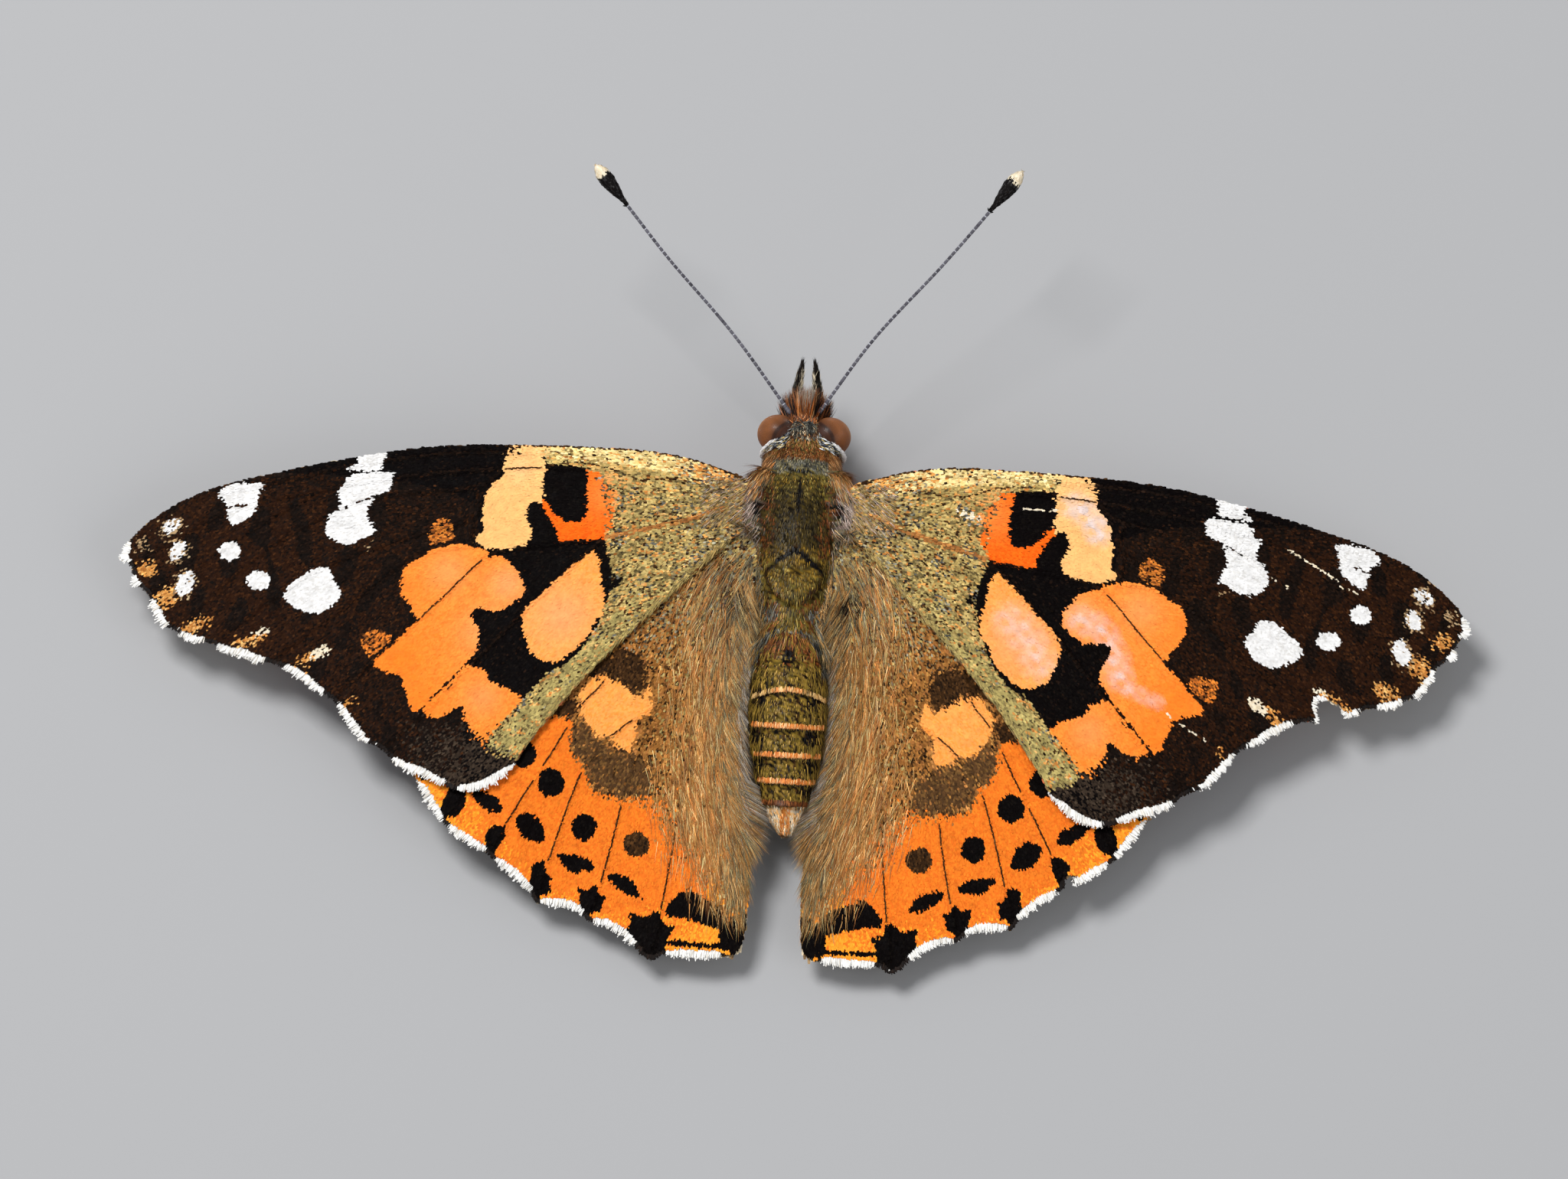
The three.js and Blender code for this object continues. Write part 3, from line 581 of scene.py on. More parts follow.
# %% Outlines and veins
FORE_FRONT = [(2.3, 0.05), (3.9, 0.75), (5.4, 1.2), (7.2, 1.5), (10, 1.63), (14.3, 1.67), (17.5, 1.5),
              (19.6, 1.17), (23, 0.5), (26.5, -0.35), (28.4, -1.0), (29.7, -1.7), (30.8, -2.6),
              (31.45, -3.3)]
FORE_TIP = [(31.7, -4.0), (31.3, -4.6), (31.1, -5.3), (30.45, -5.85), (30.15, -6.4), (29.5, -7.4),
            (29.0, -7.65), (28.2, -8.05), (27.1, -8.3), (26.5, -8.6)]
FORE_WHOLE_RIM = [(25.6, -8.75), (25, -9.05)]
FORE_TORN_RIM = [(26.1, -8.6), (25.8, -8.15), (25.25, -7.95), (24.8, -8.0), (24.7, -8.45), (24.85, -9.1)]
FORE_REAR = [(24.2, -9.2), (22.9, -9.75), (22.0, -10.45), (21.3, -10.9), (20.4, -11.95), (19.7, -12.8),
             (18.9, -13.2), (18.1, -13.85), (16.8, -14.35), (15.9, -14.8), (15.3, -15.1),
             (14.3, -15.0), (13.3, -14.55), (12.5, -13.75), (11.9, -12.7), (9.8, -9.85), (7.6, -7.4),
             (5.2, -4.9), (3.5, -3.05), (2.2, -1.9)]
HIND_FRONT = [(2.0, -2.6), (4.2, -2.1), (6.8, -2.9), (9.6, -4.9), (12.3, -7.4), (14.8, -10.0),
              (16.4, -12.2), (17.05, -13.4), (17.15, -14.1), (16.85, -14.8), (16.1, -15.95),
              (15.8, -16.45), (15.2, -16.9)]
HIND_WHOLE_RIM = [(13.95, -17.6)]
HIND_NICKED_RIM = [(13.95, -17.7), (13.65, -17.35)]
HIND_REAR = [(13.35, -18.05), (12.3, -18.65), (11.6, -19.3), (11.15, -19.95), (10.3, -19.9),
             (9.4, -20.05), (8.6, -20.7), (7.9, -20.75), (7.1, -21.1), (6.5, -21.7), (6.1, -22.15),
             (5.5, -22.4), (4.9, -22.1), (3.5, -22.05), (2.4, -22.0), (1.6, -21.7), (1.3, -20.8),
             (1.2, -18.5), (1.3, -16.5), (1.6, -14.8), (1.85, -12.8), (2.05, -10.5), (1.9, -7.5),
             (1.8, -4.6)]
FORE_VEINS = {
    "costa": [(3.2, 0.05), (5.4, 0.75), (7.2, 1.05), (10, 1.2), (14.3, 1.22), (17.5, 1.05),
              (21, 0.45), (24.5, -0.3), (27.5, -1.05)],
    "radius": [(3.2, -0.5), (6, 0.1), (10, 0.5), (14, 0.4), (18, 0.05), (22.5, -0.75), (26.3, -1.6),
               (29, -3.05), (30.9, -4.3)],
    "radius_fork": [(22.5, -0.75), (25.5, -2.6), (28.3, -4.65), (30.0, -5.55)],
    "media_1": [(14, 0.4), (15.2, -0.45), (20.1, -1.1), (22, -1.9), (24, -3.0), (25.8, -4.45),
                (28.5, -7.1)],
    "media_2": [(15.2, -0.45), (15.2, -1.9), (18, -2.9), (21.5, -4.2), (24.3, -6), (26.6, -7.8)],
    "media_3": [(15.3, -1.9), (15.3, -3.25), (16.6, -3.5), (18.4, -4.2), (20.5, -6), (23.8, -8.6)],
    "cubitus": [(3.1, -1.1), (5.4, -1.9), (8.9, -2.8), (12.2, -3.3), (14.3, -3.75), (16.5, -5.95),
                (19.6, -9.1), (20.9, -10.3)],
    "cubitus_fork": [(8.9, -2.8), (9.8, -3.6), (12.4, -6.3), (14.8, -9.0), (16.8, -11.3),
                     (18.4, -12.8)],
}
HIND_VEINS = {
    "front": [(3.3, -2.9), (7, -4.1), (11, -7.0), (14.3, -10.5), (16.4, -13.1)],
    "radius": [(3.2, -3.3), (5.5, -5.0), (8.0, -6.6), (12, -9.6), (15, -12.4), (16.5, -14.1)],
    "media_2": [(8.0, -6.6), (9.6, -8.8), (12.2, -11.4), (14.2, -14.1), (15.4, -15.9)],
    "media_3": [(8.0, -6.6), (8.4, -9.2), (9.6, -10.8), (10.8, -13.0), (11.9, -14.9), (13.2, -17.3)],
    "cubitus": [(3.0, -3.7), (4.3, -7), (5.3, -9.8), (6.9, -11.1), (8.2, -12.2), (9.2, -13.5),
                (10.0, -15.7), (11.0, -19.2)],
    "cubitus_fork": [(5.3, -9.8), (6.6, -12.2), (7.2, -13.9), (7.75, -17), (8.4, -19.8)],
    "anal": [(2.9, -4.2), (3.9, -8), (4.6, -13), (4.9, -17), (5.3, -20.2), (5.5, -21.6)],
}
FORE = {"root": 6.1, "root_x": 2.8, "span": 28.6, "tip_drop": 2.9, "bend": 1.25, "chord_drop": 0.12,
        "front_y": 0.5}
HIND = {"root": 4.75, "root_x": 2.0, "root_y": -1.5, "reach": 21, "drop": 3.2, "bend": 1.1, "lift": 0.88,
        "lift_end": 3.2, "lift_blend": 2.2}
# The forewing's rear edge as a straight line: a place on it, and the way back from it.
REAR_EDGE = (3.5, -3.05)
REAR_WAY = (-0.755, -0.656)


def fore_height(x, y):
    out = np.maximum(0, (x - FORE["root_x"]) / FORE["span"])
    chord = np.maximum(0, FORE["front_y"] - y)
    return FORE["root"] - FORE["tip_drop"] * out ** FORE["bend"] - FORE["chord_drop"] * chord


def hind_height(x, y):
    """The solid's height, raised by the air that the solids leave under the forewing."""
    out = np.hypot(x - HIND["root_x"], y - HIND["root_y"]) / HIND["reach"]
    behind = REAR_WAY[0] * (x - REAR_EDGE[0]) + REAR_WAY[1] * (y - REAR_EDGE[1])
    return (HIND["root"] - HIND["drop"] * out ** HIND["bend"]
            + HIND["lift"] * 0.5 * (1 - np.tanh((behind - HIND["lift_end"]) / HIND["lift_blend"])))


# %% [markdown]
# Scales point away from the body along the veins, and veins are ridges, so both need the nearest vein
# at many thousand places. It is worked out once on a fine grid over each kind of wing, and read off
# from there: how far the nearest vein is, and the run of the veins around.

# %% The lie of the veins, on a grid
GRID_STEP = 0.07
FILM = 0.06  # half the thickness of the film
VEIN_RISE = 0.09
VEIN_HALF = 0.12
VEIN_FADE = 0.55  # how much lower the veins are at the tip, as a share
PLEAT = 0.05  # how far the film sags between two veins
PLEAT_HALF = 1.2  # how far from a vein it has sagged in full
HINGE_X = 2  # where the wing begins
FRINGE = 0.32  # how far inside the outline the film ends where there is a fringe


class Wing:
    """One kind of wing: its veins' grid, and the height of its film."""

    def __init__(self, veins, height, tip):
        self.height = height
        lines = [evenly(spline(v), 0.22) for v in veins.values()]
        self.veins = [points for points, _, _ in lines]
        spots = np.vstack(self.veins)
        runs = np.vstack([direction for _, direction, _ in lines])
        self.low = spots.min(0) - 2.5
        size = ((spots.max(0) + 2.5 - self.low) / GRID_STEP).astype(int) + 2
        gx, gy = np.meshgrid(*(self.low[k] + np.arange(size[k]) * GRID_STEP for k in (0, 1)),
                             indexing="ij")
        self.near = np.empty(gx.shape)
        self.run = np.empty(gx.shape + (2,))
        for i in range(size[0]):
            d2 = (gx[i][:, None] - spots[:, 0]) ** 2 + (gy[i][:, None] - spots[:, 1]) ** 2
            self.near[i] = np.sqrt(d2.min(1))
            pull = 1 / (d2 + 0.4) ** 2
            self.run[i] = pull @ runs
        self.run /= np.linalg.norm(self.run, axis=2, keepdims=True)
        self.tip = tip

    def read(self, field, x, y):
        at = (np.stack([x, y], -1) - self.low) / GRID_STEP
        cell = np.clip(at.astype(int), 0, np.array(field.shape[:2]) - 2)
        u, v = np.clip(at - cell, 0, 1).T
        if field.ndim == 3:
            u, v = u[:, None], v[:, None]
        i, j = cell.T
        return ((field[i, j] * (1 - u) + field[i + 1, j] * u) * (1 - v)
                + (field[i, j + 1] * (1 - u) + field[i + 1, j + 1] * u) * v)

    def off_vein(self, x, y):
        return self.read(self.near, x, y)

    def folds(self, x, y):
        """How far out a place is, how high on a vein's ridge, and how far the film sags there."""
        d = self.off_vein(x, y)
        out = np.clip((x - HINGE_X) / (self.tip - HINGE_X), 0, 1)
        sag = PLEAT * np.minimum(1, (d / PLEAT_HALF) ** 2) * (0.4 + 0.6 * out)
        return out, np.exp(-(d / VEIN_HALF) ** 2), sag

    def top(self, x, y):
        out, ridge, sag = self.folds(x, y)
        return self.height(x, y) + FILM + (VEIN_RISE * (1 - VEIN_FADE * out) * ridge - sag)

    def under(self, x, y):
        _, ridge, sag = self.folds(x, y)
        return self.height(x, y) - FILM - 0.5 * VEIN_RISE * ridge - sag

    def up(self, x, y, face):
        """The direction straight away from the upper (1) or under (-1) face."""
        surface = self.top if face > 0 else self.under
        e = GRID_STEP
        slope_x = (surface(x + e, y) - surface(x - e, y)) / (2 * e)
        slope_y = (surface(x, y + e) - surface(x, y - e)) / (2 * e)
        return unit(columns(-slope_x, -slope_y, 1)) * face


WINGS = {"forewing": Wing(FORE_VEINS, fore_height, 31.7), "hindwing": Wing(HIND_VEINS, hind_height, 17.2)}
for kind, wing in WINGS.items():
    print(kind, len(wing.veins), "veins, grid", wing.near.shape)

# %% [markdown]
# ## Markings of the upper side
# The pattern is one set of marks for the right wing, which the left wing mirrors, as on the animal.
# Each mark is a closed smooth line with the palette that fills it, laid over the ground colour in
# order. A scale asks for the pattern at its own middle, so the edges of marks come out ragged by a
# scale's length, as they are in life.

# %% Forewing marks
FORE_MARKS = [
    ("olive", [(1.5, 2.5), (8.9, 2.4), (12.6, 1.75), (12.1, 1.3), (11.8, 0.72), (10.9, 0.68), (10.1, 0.5),
               (9.4, -0.2), (9, -1.6), (9, -2.9), (8.8, -3.5), (8.6, -4.2), (8.6, -5.4), (8.9, -6.6),
               (9.6, -8), (10.4, -8.9), (11.2, -9.3), (11.9, -10.2), (12.9, -11.4), (13.7, -12.7),
               (13.3, -13.2), (12.3, -13.4), (11, -12.2), (6, -6.5), (1.5, -2)]),
    ("straw", [(2.4, 0.7), (3.9, 1.3), (7.2, 2.1), (10, 2.2), (12.3, 2.1), (12.2, 1.25), (10.4, 1.0),
               (8.6, 0.75), (6.4, 0.45), (4.4, -0.1), (3, -0.4)]),
    ("ember", [(9.55, 0.35), (8.95, -0.3), (8.7, -1.1), (8.65, -2), (8.9, -2.6), (9.1, -2.85), (10.3, -3),
               (11.15, -3), (11.25, -2.6), (11.5, -2.1), (11.95, -1.5), (12.25, -1.25), (11.95, -1.05),
               (11.5, -1.2), (11.2, 0), (10.2, 0.4)]),
    ("cream", [(12.2, 2.2), (12.05, 1.2), (12.0, 0.6), (12.05, -0.5), (12.0, -1.2), (12.3, -1.6),
               (12.45, -2.3), (12.4, -2.8), (12.5, -3.15), (13.3, -3.4), (14, -3.47), (14.5, -3.4),
               (15.1, -3.05), (14.75, -2.6), (14.83, -2.1), (14.8, -1.5), (14.7, -0.8), (14.4, -0.3),
               (13.95, 0.1), (14.0, 0.45), (13.9, 0.8), (13.7, 1.2), (13.4, 1.5), (13.3, 2.2)]),
    ("ink", [(10.08, 0.37), (10.33, 0.49), (10.83, 0.62), (11.42, 0.7), (11.96, 0.53), (11.96, 0.28),
             (11.87, -0.47), (11.67, -1.22), (11.46, -1.63), (11, -1.97), (10.5, -2.09),
             (10.08, -1.97), (9.87, -1.47), (9.92, -0.8), (9.98, -0.13)]),
    ("ink", [(11.2, -2.97), (11.33, -2.55), (11.58, -1.97), (11.9, -1.5), (12.1, -1.2), (12.4, -1.15),
             (12.6, -1.3), (12.75, -1.7), (12.7, -2.05), (12.45, -2.4), (12.4, -2.65), (12.5, -3.05),
             (12.6, -3.5), (11.2, -3.4)]),
    ("apricot", [(9.5, -3.43), (9.25, -3.7), (9.1, -4.1), (8.96, -4.8), (8.8, -5.6), (8.8, -6.3),
                 (9.17, -6.9), (9.5, -7.6), (10, -8.2), (10.6, -8.7), (11.1, -8.85), (11.6, -8.7),
                 (12.1, -8.4), (12.3, -7.9), (12.55, -7.3), (12.6, -6.55), (12.25, -6.05),
                 (11.6, -5.4), (10.75, -4.55), (10, -3.84)]),
    ("ink", [(9, -3.6), (8.85, -4.05), (8.65, -4.05), (8.5, -4.4), (8.1, -4.6), (8.2, -5.1),
             (8.7, -5.3), (8.95, -5.1), (9.1, -4.1)]),
    ("deep", [(16.67, -2), (16.3, -2.2), (16.15, -2.55), (16.05, -2.9), (16.5, -3.2), (17.1, -3.3),
              (17.25, -2.8), (17.15, -2.4)]),
    ("orange", [(14.5, -3.55), (15, -3.4), (15.6, -3.25), (16.25, -3.35), (17, -3.55), (17.5, -3.9),
                (18, -4.15), (18.35, -4.55), (18.45, -5.1), (18.4, -5.65), (18, -6.15),
                (17.75, -6.55), (17.5, -6.9), (17.1, -6.6), (16.4, -5.9), (15.7, -5.2), (14.9, -4.45),
                (14.4, -4.0)]),
    ("orange", [(14.08, -3.8), (13.4, -4.05), (13, -4.55), (12.62, -5.1), (12.67, -5.7), (13.1, -6.05),
                (13.6, -6.4), (14.2, -6.4), (14.75, -6.3), (15, -6.8), (14.7, -7.2), (14.55, -7.7),
                (14.6, -8.2), (14.9, -8.7), (15.3, -9.2), (16.2, -10.2), (17.1, -11.2),
                (17.4, -11.35), (17.6, -11.1), (17.9, -10.3), (18.1, -9.7), (18.6, -9.5),
                (19.3, -9.3), (19.45, -8.95), (18.7, -8.2), (17.8, -7.3), (16.6, -6.05), (15.5, -5),
                (14.4, -4)]),
    ("orange", [(12.33, -10.67), (13, -10.2), (13.5, -10), (14, -9.75), (14.17, -9.33), (14.75, -9.1),
                (15.1, -9.15), (15.45, -9.55), (16.1, -10.25), (17, -11.3), (16.5, -11.6),
                (16, -11.55), (15.35, -11.1), (15.1, -11.05), (15, -11.6), (14.75, -12),
                (14.5, -12.4), (14.3, -12.75), (14.1, -12.75), (13.75, -12.4), (13.2, -11.7),
                (12.6, -11)]),
    ("deep", [(19, -7.55), (19.6, -7.45), (20.05, -7.7), (19.95, -8.4), (19.75, -8.8), (19.2, -8.45),
              (18.7, -7.9)]),
    ("white", [(19.5, 1.6), (20.5, 1.4), (20.9, 1.05), (20.9, 0.6), (21.2, 0.35), (21.3, 0.25),
               (20.6, 0.25), (19.75, 0.3), (19.67, 0.7)]),
    ("white", [(19.17, 0.12), (19.4, 0.2), (20, 0.15), (20.8, 0.08), (21.3, -0.13), (21.4, -0.47),
               (21.7, -0.7), (21.6, -1.05), (21.55, -1.5), (21.65, -1.67), (20.8, -1.35),
               (19.85, -0.95), (19.25, -0.65), (19.14, -0.3)]),
    ("white", [(20, -1.1), (20.8, -1.4), (21.75, -1.75), (22.05, -2.05), (22.2, -2.55), (22, -2.95),
               (21.7, -3.2), (21.15, -3.4), (20.65, -3.2), (20.2, -2.95), (19.85, -2.8),
               (19.95, -2.4), (20.2, -1.95), (20.2, -1.65)]),
    ("white", [(25.3, -0.5), (26, -0.46), (26.7, -0.46), (27.1, -0.67), (27.4, -1.04), (27.1, -1.33),
               (26.85, -1.67), (26.4, -1.45), (25.6, -1.5), (25.4, -0.9)]),
    ("white", [(25.5, -1.45), (26.5, -1.62), (26.9, -1.8), (26.8, -2.1), (26.6, -2.5), (26.25, -2.33),
               (25.75, -2.05), (25.5, -1.67)]),
    ("white", [(21.85, -4.55), (22.5, -4.5), (23, -4.8), (23.6, -5.3), (23.9, -5.65), (23.85, -6.05),
               (23.3, -6.45), (22.6, -6.7), (21.9, -6.55), (21.5, -6.2), (21.25, -5.8),
               (21.4, -5.3), (21.7, -4.95)]),
]
# Round spots: palette, centre, half sizes, turn in degrees, and how surely a scale inside takes it.
FORE_SPOTS = [
    ("white", (26.6, -3.75), (0.5, 0.46), 0, 1.0), ("white", (25.15, -5.15), (0.56, 0.46), 10, 1.0),
    ("hazel", (29.5, -2.6), (0.62, 0.42), -35, 0.6), ("white", (29.5, -2.55), (0.5, 0.3), -35, 0.7),
    ("hazel", (29.1, -3.8), (0.42, 0.58), 20, 0.6), ("white", (29.1, -3.75), (0.32, 0.46), 20, 0.9),
    ("hazel", (28.65, -5.4), (0.5, 0.7), 20, 0.5), ("white", (28.62, -5.35), (0.38, 0.6), 20, 0.95),
    ("bone", (24.9, -7.65), (0.42, 0.2), -25, 0.55),
    ("bone", (22, -8.6), (0.55, 0.26), -35, 0.85), ("hazel", (20.1, -3.45), (0.3, 0.14), -30, 0.3),
    ("hazel", (30.85, -3.5), (0.26, 0.36), 0, 0.8),
    ("tan", (30.5, -4.65), (0.42, 0.34), 0, 0.9), ("tan", (29.55, -6.05), (0.44, 0.55), 40, 0.9),
    ("tan", (28.0, -7.35), (0.75, 0.3), -25, 0.85), ("tan", (25.5, -8.1), (0.8, 0.26), -22, 0.75),
    ("tan", (22.8, -9.05), (0.6, 0.24), -35, 0.6), ("tan", (20.6, -11.1), (0.6, 0.14), -45, 0.35),
]


def in_spot(x, y, centre, half, turn=0):
    dx, dy = x - centre[0], y - centre[1]
    c, s = math.cos(math.radians(turn)), math.sin(math.radians(turn))
    return ((dx * c + dy * s) / half[0]) ** 2 + ((-dx * s + dy * c) / half[1]) ** 2 < 1


def inside(x, y, mark, steps=5):
    """Which places a mark's smooth outline holds."""
    return within(x, y, spline(mark, steps, closed=True))


def soft(x, y, centre, reach):
    """1 at a centre, fading to 0 about reach away."""
    return np.exp(-(((x - centre[0]) ** 2 + (y - centre[1]) ** 2) / reach**2))


print(len(FORE_MARKS), "marks and", len(FORE_SPOTS), "spots on a forewing")

# %% [markdown]
# The painter of a wing takes places and gives one colour for each. Beside the marks there are things
# that no outline holds: rusty scales sprinkled over the black, speckles that fan out over the olive
# base, paler and deeper places in the orange marks, and thin lines behind the front edge.

# %% Painting the forewing's upper side
# Thin lines: palette, half width, how surely a scale takes it, line.
FORE_LINES = [
    ("rufous", 0.12, 0.85, [(3.5, -1.2), (5.4, -1.9), (8.9, -2.8)]),
    ("umber", 0.05, 0.7, [(3.6, 0.0), (5.6, 0.15), (7.3, 0.02), (8.2, 0.28), (9.2, 0.62), (10, 0.78),
                          (10.8, 0.82), (11.4, 0.74), (11.9, 0.55)]),
    ("umber", 0.1, 0.9, [(2.6, 0.2), (3.9, 0.78), (5.4, 1.22), (7.2, 1.52), (10, 1.66), (14.3, 1.7)]),
]
# Where an orange patch pales or deepens: centre, reach, colour seen there.
PATCH_HEARTS = [((10.7, -6.6), 1.5, (252, 164, 104)), ((14.3, -7.4), 1.2, (252, 160, 90)),
                ((13.4, -5.1), 0.9, (250, 166, 100)), ((16.2, -4.6), 1.0, (250, 156, 84)),
                ((14.2, -10.6), 0.9, (248, 150, 80)), ((13.2, 0.4), 0.6, (252, 196, 136)),
                ((18.3, -9.0), 1.5, (250, 126, 36)), ((17.2, -10.8), 1.0, (250, 128, 38)),
                ((18.2, -5.6), 0.7, (250, 132, 46)), ((9.1, -0.7), 1.0, (250, 134, 56))]
FAN_HUB = (1.5, 0.6)
FAR = 9.0


def off_line(x, y, points, reach):
    """How far each place is from a smooth line. Places well beyond the reach get FAR."""
    spots = evenly(spline(points), 0.08)[0]
    away = np.full(x.shape, FAR)
    low, high = spots.min(0) - reach, spots.max(0) + reach
    box = (x > low[0]) & (x < high[0]) & (y > low[1]) & (y < high[1])
    d2 = (x[box, None] - spots[:, 0]) ** 2 + (y[box, None] - spots[:, 1]) ** 2
    away[box] = np.sqrt(d2.min(1))
    return away


def near_line(x, y, points, reach):
    return off_line(x, y, points, reach) < reach


def lay(colour, rng, *layers):
    """Lays palettes over each other: palette, where (True for all places), and how surely there."""
    for palette, where, surely in layers:
        take = where & (rng.random(len(colour)) < surely)
        colour[take] = pick(palette, take.sum(), rng)


def paint_forewing(x, y, seed):
    rng = np.random.default_rng(seed)
    colour = pick("soot", len(x), rng)
    near = WINGS["forewing"].off_vein(x, y)
    out = ramp(x, 12, 24) * ramp(y, 0.6, -1.4)
    lay(colour, rng,
        ("rust", clouds(x, y, 2.2, 3) > 0.3, 0.85 * out),
        ("ink", (out < 0.25) & (near > 0.1), 0.9),
        ("ash", True, 0.6 * ramp(y, -11.4, -13.0) * ramp(x, 18.5, 15.5)))
    blur = 0.03 + 0.22 * ramp(y, 0.8, 1.2) * ramp(x, 15, 14) + 0.14 * ramp(y, -11.4, -12.4)
    wobble = rng.normal(0, 1, (2, len(x))) * blur
    for palette, mark in FORE_MARKS:
        held = inside(x + wobble[0], y + wobble[1], mark)
        lay(colour, rng, (palette, held, 0.8 if palette == "deep" else 1))
    for palette, centre, half, turn, surely in FORE_SPOTS:
        smear = rng.normal(0, 0.14 if palette in ("hazel", "tan") else 0.02, (2, len(x)))
        lay(colour, rng, (palette, in_spot(x + smear[0], y + smear[1], centre, half, turn), surely))
    base = inside(x, y, FORE_MARKS[0][1])
    rear = base & (x * 0.755 + y * 0.656 < 2.0)
    flecked = streaks(x, y, FAN_HUB, 5)
    plainer = 1 - 0.7 * rear * ramp(x, 6, 9.5) - 0.75 * ramp(y, -0.6, 0.4)
    lay(colour, rng,
        ("reed", rear, 0.95 * ramp(x, 4.5, 9.5)),
        ("root", base, 0.85 * ramp(x, 6.2, 3.2)),
        ("shade", base, 0.24 * plainer),
        ("umber", base, (0.03 + 0.34 * ramp(flecked, 0.55, 0.95)) * plainer),
        ("smoke", base, 0.26 * ramp(clouds(x, y, 1.7, 6), 0.55, 0.8) * plainer),
        ("tan", base, 0.45 * ramp(flecked, 0.4, 0.1)),
        ("tan", (x < 7) & (y > 0.1), 0.75 * ramp(x, 7, 2.5)))
    colour = colour * (1 + base * (0.5 * clouds(x, y, 1.2, 21) - 0.2 + 0.17 * ramp(y, -0.8, 0.6)))[:, None]
    for palette, half, surely, line in FORE_LINES:
        lay(colour, rng, (palette, near_line(x, y, line, half), surely))
    warm = (colour[:, 0] > 0.5) & (colour[:, 2] < 0.5)
    for centre, reach, seen in PATCH_HEARTS:
        colour = tint(colour, seen, 0.85 * soft(x, y, centre, reach) * warm)
    low_cream = inside(x, y, FORE_MARKS[3][1]) * 0.7 * ramp(y, 1.4, -1.3)
    return tint(colour, (252, 186, 112), low_cream * warm)

# %% [markdown]
# The hindwing's marks are fewer: a hairy brown base, an orange field with a row of round black spots,
# a row of lens-shaped ones outside it, and black stars where the veins meet the edge.

# %% Hindwing marks
HIND_FIELD = [(1.9, -19.6), (2.4, -18.9), (2.9, -18.2), (4, -17.3), (5, -16.3), (5.5, -15.3),
              (6.2, -14.8), (7.5, -14.9), (8.8, -14.6), (9.3, -13.5), (9.9, -12.9), (10, -11.6),
              (10.6, -11.2), (13, -10), (18, -11), (19, -15), (15, -19), (10, -22), (5, -23.5),
              (1, -22.8)]
HIND_MARKS = [
    ("apricot", [(6.85, -10.2), (7.5, -9.75), (8.3, -9.4), (9, -9.35), (9.5, -9.9), (9.7, -10.3),
                 (9.6, -11.0), (9.4, -11.4), (8.8, -12.1), (8.2, -12.2), (7.7, -12.6), (7.2, -12.65),
                 (6.95, -12.0), (6.9, -11.3), (6.3, -10.8), (6.35, -10.2), (6.5, -9.6)]),
    ("umber", [(6.7, -8.6), (7.6, -8.0), (8.5, -8.3), (9.3, -9.0), (9.4, -9.35), (9, -9.32), (8.3, -9.4),
               (7.5, -9.75), (6.95, -10.1), (6.6, -9.5)]),
    ("umber", [(9.75, -10.6), (10.2, -10.4), (10.9, -10.8), (11.1, -11.3), (10.6, -11.3),
               (10.2, -11.35), (9.9, -11.2)]),
    ("sepia", [(9.4, -11.6), (9.9, -11.9), (9.9, -12.8), (9.2, -13.4), (8.75, -14.4), (7.5, -14.7),
               (6.2, -14.7), (6.1, -13.8), (6.3, -13.2), (7.2, -12.8), (7.9, -12.6), (8.5, -12.3),
               (8.95, -12.1)]),
]
HIND_SPOTS = [
    ("ink", (10.75, -14.4), (0.63, 0.66), 0, 1.0), ("ink", (9.1, -16.3), (0.57, 0.62), 0, 1.0),
    ("umber", (6.6, -16.95), (0.6, 0.6), 0, 1.0), ("ink", (12.15, -13.15), (0.62, 0.62), 0, 1.0),
]
